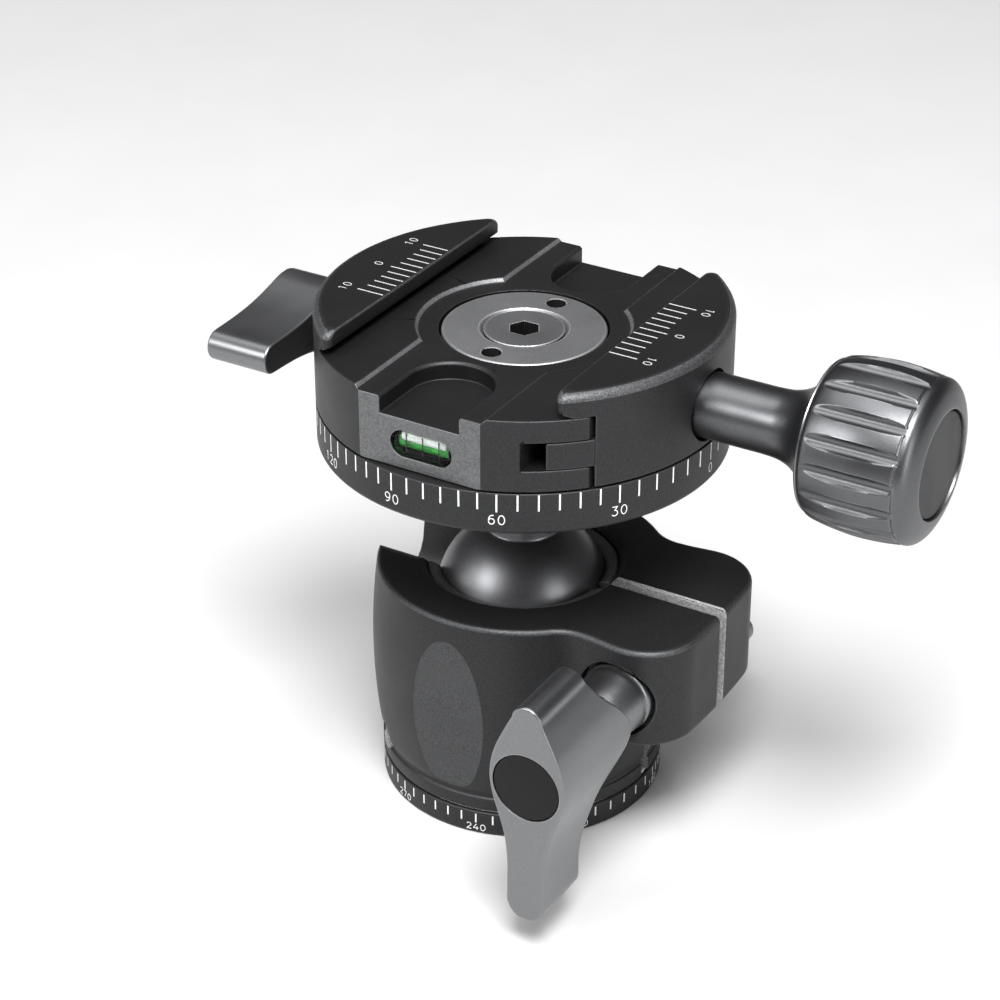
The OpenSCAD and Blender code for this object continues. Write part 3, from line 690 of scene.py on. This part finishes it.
# painted shade: the bores, level window and holes cut below take the near-black recess material
cut.append(cyl(60, 71, 8.65, segs=160, mat=DEEP_SHADE))
cut.append(cyl(70.45, 76, 12.2, segs=200, mat=DEEP_SHADE))
for y0, y1 in ((-40, -28.4), (28.4, 40)):
    cut.append(box(-20, 20, y0, y1, 60, 80, MACHINED))
st = [(3.1 + 2.0 * cos(a), 67.6 + 2.0 * sin(a)) for a in np.linspace(-pi / 2, pi / 2, 20)] + [(-2.6 - 2.0 * cos(a), 67.6 - 2.0 * sin(a)) for a in np.linspace(-pi / 2, pi / 2, 20)]
cut.append(loft("c", [[(x, -34, z) for x, z in st], [(x, -24.2, z) for x, z in st]], mat=DEEP_SHADE))
for y0, y1 in ((-35.0, -14.5), (14.5, 35.0)):
    cut.append(box(14.65, 24.0, y0, y1, 67.05, 71.3, DEEP_SHADE))
for s in (-1, 1):
    cut.append(cyl(13.2, 24, 2.05, "X", (0, s * 9.5, 69.5), 48, DEEP_SHADE))
cut.append(cyl(12.8, 24, 3.05, "X", (0, 0, 69.5), 64, DEEP_SHADE))
cut.append(cyl(-18, -7, 2.0, "X", (0, 0, 68.3), 48, DEEP_SHADE))
cut.append(cyl(-34, -13, 2.55, "X", (0, 0, 68.3), 48, DEEP_SHADE))
cut.append(cyl(-34, -29.4, 5.2, "X", (0, 0, 68.3), 96, BLACK))
boolean(cb, cut)
bevel(cb, 0.14, 3, 40, merge=0.02)
done(cb, "clamp", ["clamp_body"])

# sliding jaw
prof = fillet([(0, 63.8), (30, 63.8)] + MID + [(30, 74.7), (29.9, 74.7), (29.9, 75.3), (0, 75.3)], [0, 0.3] + [0] * 8, 8, closed=False)
jaw = lathe("sliding_jaw", prof, 360, mat=[BLACK, BLACK_TOP_SHADE, EDGECUT, DEEP_SHADE])
boolean(jaw, [box(-40, 22.48, -40, 40, 60, 90, BLACK)])
boolean(jaw, [lip(1, 17.9, [(74.7, 0.0), (75.4, 0.0), (76.2, 0.0)], BLACK)], "UNION")
und = [(10, 74.0), (20.4, 74.0), (20.4, 74.7), (17.95, 75.95), (17.9, 76.2), (10, 76.2)]
cut = [loft("c", [[(x, -40, z) for x, z in und], [(x, 40, z) for x, z in und]], mat=BLACK)]
# painted shade: the screw bores take the near-black recess material
cut += [cyl(20, 32, 3.05, "X", (0, 0, 69.5), 64, DEEP_SHADE), cyl(20, 25.8, 4.2, "X", (0, 0, 69.5), 64, DEEP_SHADE), cyl(27.5, 34, 5.2, "X", (0, 0, 69.5), 120, BLACK)]
cut += [cyl(20, 26.6, 2.0, "X", (0, s * 9.5, 69.5), 48, DEEP_SHADE) for s in (-1, 1)]
boolean(jaw, cut)
tong = []
for s in (-1, 1):
    pts = []
    for x in np.linspace(17.47, 24.0, 16):
        pts.append((x, s * sqrt(29.985 ** 2 - x * x)))
    pts += [(24.0, s * 14.6), (17.47, s * 14.6)]
    tong.append(loft("c", [[(x, y, 67.15) for x, y in pts], [(x, y, 71.15) for x, y in pts]], mat=BLACK))
boolean(jaw, tong, "UNION")
bevel(jaw, 0.14, 3, 42, merge=0.02)
# painted highlight: rounding faces along the top rims of jaw and clamp body take the lighter rounding material
for ob in (jaw, cb):
    ob.data.materials.append(BLACK_EDGE_HIGHLIGHT)
    mats = [m.name for m in ob.data.materials]
    for p in ob.data.polygons:
        if p.material_index == mats.index(BLACK.name) and 0.2 < p.normal.z < 0.97 and p.center.z > (JT - 1.7) * S:
            p.material_index = len(mats) - 1
    # painted shade: flat upward faces near the top that are still plain black take the darker top copy
    if BLACK_TOP_SHADE.name in mats:
        bi, ti = mats.index(BLACK.name), mats.index(BLACK_TOP_SHADE.name)
        for p in ob.data.polygons:
            if p.normal.z > 0.9995 and p.center.z > 0.0740 and p.material_index == bi:
                p.material_index = ti
done(jaw, "jaw", ["movable_jaw"])

# level: clear block, fluid, bubble and marks
st2 = inset(st, 0.05)
v = loft("vial_block", [[(x, -28.0, z) for x, z in st2], [(x, -24.25, z) for x, z in st2]], mat=CLEAR)
boolean(v, [cyl(-3.9, 4.4, 1.62, "X", (0, -26.1, 67.6), 64, CLEAR)])
bevel(v, 0.15, 2, 40)
done(v, "clamp", ["level_vial"])
fl = lathe("vial_fluid", fillet([(0, -3.85), (1.6, -3.85), (1.6, 4.35), (0, 4.35)], [0, 0.5, 0.5, 0], 5, closed=False), 72, "X", (0, -26.1, 67.6), FLUID)
boolean(fl, [lathe("c", fillet([(0, -3.35), (0.97, -3.35), (0.97, 4.1), (0, 4.1)], [0, 0.7, 0.5, 0], 8, closed=False), 64, "X", (0, -26.95, 68.55), BUBBLE)])
done(fl, "clamp", ["level_fluid"])
bb = lathe("vial_bubble", fillet([(0, -3.3), (0.92, -3.3), (0.92, 4.05), (0, 4.05)], [0, 0.65, 0.45, 0], 8, closed=False), 64, "X", (0, -26.95, 68.55), BUBBLE)
done(bb, "clamp", [])

# ------------------------------------------------------------------ knob
KZ = 69.5
kp = spline([(4.75, 28.15), (4.75, 36.0), (4.77, 39.5), (4.95, 41.6), (5.7, 43.8), (7.2, 45.7), (9.2, 47.0)], 6, closed=False)
kp = [(4.75, 28.15)] + [p for p in kp if p[1] > 28.5]
grip = spline([(10.95, 47.95), (11.3, 48.4), (11.7, 49.9), (12.03, 52.4), (12.2, 55.4), (12.05, 58.4), (11.8, 60.5), (11.66, 61.4)], 10, closed=False)
nose = [(11.5, 61.55), (11.5, 61.7)] + spline([(11.62, 61.85), (11.5, 62.4), (11.1, 62.95), (10.3, 63.5), (9.1, 63.95), (8.3, 64.15)], 6, closed=False)
nose += fillet([(8.3, 64.15), (7.72, 64.2), (7.6, 62.6), (0, 62.6)], [0, 0.15, 0.05, 0], 4, closed=False)[1:]
prof = kp + [(10.2, 47.3), (10.7, 47.42), (10.86, 47.6), (10.8, 47.78)] + grip + nose
NA = 18 * 36
A = np.linspace(0, 2 * pi, NA, endpoint=False)
V, idx = [], []
for r, x in prof:
    if r < 1e-6:
        idx.append([len(V)])
        V.append((x, 0, KZ))
        continue
    D = 12.46
    dl = (A - radians(15) + pi / 18) % (2 * pi / 18) - pi / 18
    disc = 1.1 ** 2 - (D * np.sin(dl)) ** 2
    cutr = np.where(disc > 0, D * np.cos(dl) - np.sqrt(np.maximum(disc, 0)), 99.0)
    if not 48.0 < x < 61.9:
        cutr = np.full(NA, 99.0)
    h = np.clip(0.5 + 0.5 * (cutr - r) / 0.1, 0, 1)
    rr = np.where(cutr > 50, r, cutr * (1 - h) + r * h - 0.1 * h * (1 - h))
    idx.append(list(range(len(V), len(V) + NA)))
    V += [(x, q * cos(a), KZ + q * sin(a)) for q, a in zip(rr, A)]
F = []
for i in range(len(idx) - 1):
    a, b = idx[i], idx[i + 1]
    for k in range(NA):
        k2 = (k + 1) % NA
        F.append((a[k], a[k2], b[k2], b[k]) if len(b) > 1 else (a[k], a[k2], b[0]))
F.append(tuple(idx[0])[::-1])
kn = new_obj("clamp_knob_grip", V, F, KNOB)
done(kn, "knob", ["clamp_knob"], 42)
o = lathe("knob_face", fillet([(0, 62.6), (7.5, 62.6), (7.5, 63.85), (0, 63.85)], [0, 0, 0.25, 0], 4, closed=False), 200, "X", (0, 0, KZ), INSERT)
done(o, "knob", ["knob_insert"])

# ------------------------------------------------------------------ main lever
BX, BZ = 24.1, 27.6
wid = spline([(-19.5, 3.05), (-16.0, 3.0), (-12.5, 3.08), (-8.8, 3.55), (-6.3, 4.25), (-3.4, 5.2), (-1.0, 5.72), (0.8, 5.85), (3.0, 5.6), (5.4, 4.9), (7.7, 3.9), (9.7, 2.95), (10.9, 2.32)], 8, closed=False)
wv, ww = np.array([p[0] for p in wid]), np.array([p[1] for p in wid])
back = spline([(14.0, -29.15), (11.6, -28.6), (9.7, -27.6), (7.3, -25.9), (4.9, -23.6), (2.7, -22.0), (1.1, -21.25), (-0.6, -21.15), (-2.4, -21.9), (-4.3, -23.9), (-6.8, -26.0), (-9.8, -27.6), (-12.7, -29.4), (-15.4, -30.4), (-18.5, -30.65), (-23.5, -30.7)], 6, closed=False)
bk = np.array(back)[::-1]


def wing_half(v):
    if v > 10.9:
        t = min((v - 10.9) / 2.15, 1.0)
        return 2.32 * sqrt(max(1 - t * t, 0.0)) * (1 - 0.06 * t)
    if v < -19.5:
        return 3.05 * sqrt(max(1 - ((v + 19.5) / 3.0) ** 2, 0.0))
    return float(np.interp(v, wv, ww))


def rounded(hw, y0, y1, rc, n=5):
    rc = min(rc, hw * 0.9, (y1 - y0) * 0.45)
    out = []
    for cx, cy, a0 in ((hw - rc, y0 + rc, -pi / 2), (hw - rc, y1 - rc, 0), (-hw + rc, y1 - rc, pi / 2), (-hw + rc, y0 + rc, pi)):
        out += [(cx + rc * cos(a0 + pi / 2 * k / n), cy + rc * sin(a0 + pi / 2 * k / n)) for k in range(n + 1)]
    return out


vs = [-22.5 + 3.0 * (1 - cos(pi / 2 * k / 16)) for k in range(16)] + list(np.linspace(-19.5, 10.9, 90)) + [10.9 + 2.15 * sin(pi / 2 * k / 14) for k in range(1, 15)]
rings = []
for v in vs:
    hw = max(wing_half(v), 0.02)
    d = min(v + 22.5, 13.05 - v)
    e = 0.0 if d > 0.4 else 0.4 - sqrt(max(0.16 - (0.4 - d) ** 2, 0.0))
    yb = float(np.interp(v, bk[:, 0], bk[:, 1]))
    rings.append([(x + BX, y, v + BZ) for x, y in rounded(hw, -40.85 + e, yb - e, 0.42)])
lev = loft("main_lever_wing", rings, mat=[GUN, CAP])
cut = [cyl(-42, -39.65, 5.2, "Y", (BX, 0, BZ), 120, GUN), cyl(-42, -35, 3.6, "Y", (BX, 0, BZ), 64, GUN), cyl(-42, -28, 2.0, "Y", (BX, 0, BZ), 48, GUN), cyl(-30, -18, 3.0, "Y", (BX, 0, BZ), 64, GUN)]
boolean(lev, cut)
bevel(lev, 0.1, 2, 62, merge=0.005)
done(lev, "main_lever", ["main_lever"], 34)
o = lathe("main_lever_cap", fillet([(0, -39.65), (5.1, -39.65), (5.1, -40.75), (0, -40.75)], [0, 0, 0.2, 0], 4, closed=False), 160, "Y", (BX, 0, BZ), CAP)
done(o, "main_lever", ["lever_cap"])
cp = fillet([(3.0, 13.45), (5.1, 13.45), (5.35, 13.75), (5.35, 15.1)], [0, 0.2, 0.2, 0], 4, closed=False) + spline([(5.35, 15.1), (5.15, 15.5), (5.1, 16.6), (4.85, 18.4), (4.45, 20.2), (4.15, 21.2)], 4, closed=False)[1:] + [(3.0, 21.2)]
o = lathe("lever_collar_ring", [(r, -h) for r, h in cp], 160, "Y", (BX, 0, BZ), GUN, closed=True)
done(o, "main_lever", ["lever_collar"])

# ------------------------------------------------------------------ small levers
sm = [(4.9 * cos(a), 4.9 * sin(a)) for a in np.linspace(-pi / 2 + 0.05, pi / 2 - 0.05, 24)]
up = [(-1.6, 4.72), (-3.4, 4.25), (-5.6, 3.7), (-8.6, 3.15), (-12.0, 2.8), (-15.2, 2.66), (-17.6, 2.6)]
dn = [(-17.6, -2.0), (-15.0, -2.1), (-12.0, -2.3), (-8.8, -2.75), (-5.8, -3.45), (-3.4, -4.15), (-1.6, -4.68)]
tp = [(-17.7 + 2.3 * cos(a), 0.3 + 2.3 * sin(a)) for a in np.linspace(pi / 2 + 0.3, 3 * pi / 2 - 0.3, 10)]
small = spline(sm + up + tp + dn, 3)
lv = prism("head_lock_lever", [(y, z + 68.3) for y, z in small], -41.5, -31.2, "X", bev=0.4, n=4, mat=[GUN, CAP])
boolean(lv, [cyl(-43, -40.4, 3.9, "X", (0, 0, 68.3), 96, GUN), cyl(-43, -30, 2.5, "X", (0, 0, 68.3), 48, GUN)])
bevel(lv, 0.12, 2, 50)
done(lv, "head_lock", ["head_lever"], 34)
o = lathe("head_lock_cap", fillet([(0, -40.4), (3.8, -40.4), (3.8, -41.4), (0, -41.4)], [0, 0, 0.2, 0], 4, closed=False), 120, "X", (0, 0, 68.3), CAP)
done(o, "head_lock", ["head_lever_cap"])
small2 = [(0.9 - x if x < -2 else -x, y) for x, y in small]
small2 = spline([(-x, y) for x, y in sm] + [(-x + 0.9 * min(1, -x / 6), y) for x, y in up + tp + dn], 3)
lv = prism("base_lock_lever", [(x, z + 8.4) for x, z in small2], 28.0, 38.5, "Y", bev=0.4, n=4, mat=[GUN, CAP])
boolean(lv, [lathe("c", fillet([(0, 24.3), (4.88, 24.3), (4.88, 30.0), (0, 30.0)], [0, 0.4, 0, 0], 4, closed=False), 120, "Y", (0, 0, 8.4), GUN)], "UNION")
boolean(lv, [cyl(37.4, 40, 3.9, "Y", (0, 0, 8.4), 96, GUN), cyl(20, 40, 2.5, "Y", (0, 0, 8.4), 48, GUN)])
bevel(lv, 0.12, 2, 50)
done(lv, "base_lock", ["base_lever"], 34)
o = lathe("base_lock_cap", fillet([(0, 37.4), (3.8, 37.4), (3.8, 38.4), (0, 38.4)], [0, 0, 0.2, 0], 4, closed=False), 120, "Y", (0, 0, 8.4), CAP)
done(o, "base_lock", ["base_lever_cap"])


# ------------------------------------------------------------------ printed scales
def arc_pts(cx, cy, rx, ry, a0, a1, n=14):
    return [(cx + rx * cos(radians(a0 + (a1 - a0) * k / n)), cy + ry * sin(radians(a0 + (a1 - a0) * k / n))) for k in range(n + 1)]


DIGITS = {
    "0": [(arc_pts(0.5, 0.5, 0.42, 0.5, 0, 360, 28)[:-1], True)],
    "1": [([(0.2, 0.84), (0.5, 1.0), (0.5, 0.0)], False)],
    "2": [(arc_pts(0.5, 0.72, 0.38, 0.28, 160, -35) + [(0.08, 0.0), (0.92, 0.0)], False)],
    "3": [([(0.1, 1.0), (0.86, 1.0), (0.44, 0.6)] + arc_pts(0.46, 0.31, 0.42, 0.31, 80, -150), False)],
    "4": [([(0.62, 1.0), (0.05, 0.27), (0.98, 0.27)], False), ([(0.74, 0.55), (0.74, 0.0)], False)],
    "5": [([(0.85, 1.0), (0.2, 1.0), (0.14, 0.58)] + arc_pts(0.46, 0.31, 0.42, 0.31, 100, -150), False)],
    "6": [(arc_pts(0.5, 0.31, 0.40, 0.31, 0, 360, 24)[:-1], True), ([(0.80, 0.97), (0.55, 1.0), (0.28, 0.86), (0.12, 0.56), (0.10, 0.34)], False)],
    "7": [([(0.08, 1.0), (0.92, 1.0), (0.4, 0.0)], False)],
    "8": [(arc_pts(0.5, 0.76, 0.32, 0.24, 0, 360, 20)[:-1], True), (arc_pts(0.5, 0.27, 0.40, 0.27, 0, 360, 24)[:-1], True)],
    "9": [(arc_pts(0.5, 0.69, 0.40, 0.31, 0, 360, 24)[:-1], True), ([(0.20, 0.03), (0.45, 0.0), (0.72, 0.14), (0.88, 0.44), (0.90, 0.66)], False)],
}


def split(path, closed, step):
    P = list(path) + ([path[0]] if closed else [])
    out = []
    for a, b in zip(P[:-1], P[1:]):
        n = max(1, int(math.ceil(hypot(b[0] - a[0], b[1] - a[1]) / step)))
        out += [(a[0] + (b[0] - a[0]) * k / n, a[1] + (b[1] - a[1]) * k / n) for k in range(n)]
    if not closed:
        out.append(P[-1])
    return out


def ribbon(V, F, path, closed, w, fn, h0=-0.02, h1=0.022):
    P = np.array(split(path, closed, 0.35), float)
    n = len(P)
    if closed:
        t = np.roll(P, -1, 0) - np.roll(P, 1, 0)
        t /= np.linalg.norm(t, axis=1, keepdims=True)
        sc = np.ones(n)
    else:
        seg = P[1:] - P[:-1]
        seg /= np.linalg.norm(seg, axis=1, keepdims=True)
        t = np.vstack([seg[:1], seg[:-1] + seg[1:], seg[-1:]])
        ln = np.linalg.norm(t, axis=1, keepdims=True)
        t /= ln
        sc = np.ones(n)
        sc[1:-1] = np.clip(2.0 / ln[1:-1, 0], 1, 1.6)
    nn = np.stack([-t[:, 1], t[:, 0]], 1) * (w / 2 * sc)[:, None]
    base = len(V)
    for p, q in zip(P, nn):
        for s, h in ((-1, h0), (-1, h1), (1, h1), (1, h0)):
            V.append(fn(p[0] + s * q[0], p[1] + s * q[1], h))
    m = n if closed else n - 1
    for i in range(m):
        a, b = base + 4 * i, base + 4 * ((i + 1) % n)
        for k in range(4):
            k2 = (k + 1) % 4
            F.append((a + k, a + k2, b + k2, b + k))
    if not closed:
        F.append((base, base + 3, base + 2, base + 1))
        e = base + 4 * (n - 1)
        F.append((e, e + 1, e + 2, e + 3))


def number(V, F, text, cx, cy, dw, dh, gap, w, fn, rot=0.0):
    total = len(text) * dw + (len(text) - 1) * gap
    x = -total / 2
    c, s = cos(rot), sin(rot)
    for ch in text:
        width = dw * (0.62 if ch == "1" else 1.0)
        for path, closed in DIGITS[ch]:
            q = [(x + p[0] * dw, (p[1] - 0.5) * dh) for p in path]
            q = [(cx + a * c - b * s, cy + a * s + b * c) for a, b in q]
            ribbon(V, F, q, closed, w, fn)
        x += dw + gap


def on_cyl(R):
    def fn(u, v, h):
        return ((R + h) * cos(u / R), (R + h) * sin(u / R), v)
    return fn


def on_top(z):
    return lambda u, v, h: (u, v, z + h)


def mark(name, V, F, body, mat=MARK):
    ob = new_obj(name, V, F, mat)
    done(ob, body, [], 30)


def follow(k, stops):
    """Angle of graduation k between the stated graduations."""
    return radians(float(np.interp(k, [p[0] for p in stops], [p[1] for p in stops])))


V, F = [], []
R = 30.0
UP = [(0, 0.7), (30, -34.1), (60, -67.0), (90, -97.2), (120, -124.5), (360, -359.3)]
for i in range(72):
    k = 5 * i
    th = follow(k, UP)
    big = k % 30 == 0
    ribbon(V, F, [(th * R, 63.42), (th * R, 60.7 if big else 60.95)], False, 0.24, on_cyl(R))
    if big:
        number(V, F, str(k), th * R, 59.5, 1.02, 1.4, 0.36, 0.13, on_cyl(R))
mark("ring_scale", V, F, "ball")

V, F = [], []
R = 21.4
LO = [(180, 8.3), (210, -36.6), (240, -78.7), (270, -115.9), (290, -140.1), (540, -351.7)]
for i in range(72):
    k = 180 + 5 * i
    th = follow(k, LO)
    ribbon(V, F, [(th * R, 3.5), (th * R, 1.95)], False, 0.23, on_cyl(R))
    if k % 30 == 0:
        number(V, F, str(k % 360), th * R, 1.15, 0.85, 1.05, 0.25, 0.12, on_cyl(R))
mark("base_scale", V, F, "base")

V, F = [], []
for i in range(11):
    y = -8.33 + i * 1.77
    lng = i in (0, 5, 10)
    ribbon(V, F, [(18.2, y), (22.5 if lng else 21.9, y)], False, 0.2, on_top(JT))
for txt, y in (("10", 9.4), ("0", 0.75), ("10", -8.1)):
    number(V, F, txt, 24.3, y, 0.98, 1.25, 0.3, 0.13, on_top(JT), rot=-pi / 2)
mark("jaw_scale_right", V, F, "jaw", MARK_SOFT)
V, F = [], []
for i in range(11):
    y = -8.85 + i * 1.765
    lng = i in (0, 5, 10)
    ribbon(V, F, [(-18.1, y), (-22.4 if lng else -21.8, y)], False, 0.2, on_top(JT))
for txt, y in (("10", 8.9), ("0", 0.0), ("10", -8.9)):
    number(V, F, txt, -24.5, y, 0.98, 1.25, 0.3, 0.13, on_top(JT), rot=pi / 2)
mark("jaw_scale_left", V, F, "clamp", MARK_SOFT)
V, F = [], []
for x in (-2.3, 0.3, 2.9):
    ribbon(V, F, [(x, 66.15), (x, 69.1)], False, 0.16, lambda u, v, h: (u, -27.97 - h, v))
mark("vial_lines", V, F, "clamp", VIALMARK)

# ------------------------------------------------------------------ floor, light, camera
fm = bpy.data.materials.new("floor_pale")
fm.use_nodes = True
nt = fm.node_tree
bs = nt.nodes["Principled BSDF"]
tc = nt.nodes.new("ShaderNodeTexCoord")
nz = nt.nodes.new("ShaderNodeTexNoise")
nz.inputs["Scale"].default_value = 40.0
mx = nt.nodes.new("ShaderNodeMix")
mx.data_type = "RGBA"
mx.inputs["A"].default_value = (0.52, 0.52, 0.52, 1)
mx.inputs["B"].default_value = (0.55, 0.55, 0.55, 1)
nt.links.new(tc.outputs["Object"], nz.inputs["Vector"])
nt.links.new(nz.outputs["Fac"], mx.inputs["Factor"])
nt.links.new(mx.outputs["Result"], bs.inputs["Base Color"])
bs.inputs["Roughness"].default_value = 0.9
bs.inputs["Specular IOR Level"].default_value = 0.1
fl_me = bpy.data.meshes.new("floor")
fl_me.from_pydata([(-6, -6, 0), (6, -6, 0), (6, 6, 0), (-6, 6, 0)], [], [(0, 1, 2, 3)])
floor = bpy.data.objects.new("floor", fl_me)
fl_me.materials.append(fm)
ORIGIN_COLL.objects.link(floor)

w = bpy.data.worlds.new("studio")
SCENE.world = w
w.use_nodes = True
wn = w.node_tree
bg = wn.nodes["Background"]
wt = wn.nodes.new("ShaderNodeTexCoord")
sep = wn.nodes.new("ShaderNodeSeparateXYZ")
rp = wn.nodes.new("ShaderNodeValToRGB")
wn.links.new(wt.outputs["Generated"], sep.inputs["Vector"])
wn.links.new(sep.outputs["Z"], rp.inputs["Fac"])
rp.color_ramp.elements[0].position = 0.0
rp.color_ramp.elements[0].color = (0.10, 0.10, 0.105, 1)
rp.color_ramp.elements[1].position = 1.0
rp.color_ramp.elements[1].color = (1.5, 1.5, 1.5, 1)
for pos, v in ((0.74, 0.13), (0.92, 1.3)):
    rp.color_ramp.elements.new(pos).color = (v, v, v, 1)
wn.links.new(rp.outputs["Color"], bg.inputs["Color"])
bg.inputs["Strength"].default_value = 0.9


def area(name, loc, target, sx, sy, power, color=(1, 1, 1)):
    d = bpy.data.lights.new(name, "AREA")
    d.shape = "RECTANGLE"
    d.size, d.size_y = sx, sy
    d.energy = power
    d.color = color
    ob = bpy.data.objects.new(name, d)
    ob.location = loc
    ob.rotation_euler = (Vector(target) - Vector(loc)).to_track_quat("-Z", "Y").to_euler()
    ORIGIN_COLL.objects.link(ob)
    return ob


C = (0.0, 0.0, 0.045)
area("key_top", (0.24, -0.34, 0.78), C, 0.36, 0.36, 12.5)
area("fill_top", (-0.25, -0.05, 0.95), C, 0.5, 0.5, 2.0)
area("front_left", (-0.30, -0.52, 0.40), C, 0.26, 0.22, 2.2)
area("side_left", (-0.60, -0.40, 0.20), C, 0.16, 0.40, 0.5)
area("side_right", (0.65, -0.15, 0.20), C, 0.20, 0.36, 1.2)

cam = bpy.data.cameras.new("view")
cam.sensor_fit = "HORIZONTAL"
cam.sensor_width = 36.0
cam.lens = 2728.7 * 36.0 / 1000.0
cam.clip_start = 0.01
cam.clip_end = 50
az, el = radians(30.565), radians(29.66)
fwd = Vector((-sin(az) * cos(el), cos(az) * cos(el), -sin(el)))
right = Vector((cos(az), sin(az), 0))
upv = right.cross(fwd)
co = bpy.data.objects.new("view", cam)
co.matrix_world = Matrix(((right.x, upv.x, -fwd.x, 0.17482), (right.y, upv.y, -fwd.y, -0.30282), (right.z, upv.z, -fwd.z, 0.24478), (0, 0, 0, 1)))
ORIGIN_COLL.objects.link(co)
SCENE.camera = co
SCENE.view_settings.view_transform = "Standard"

bpy.context.view_layer.update()
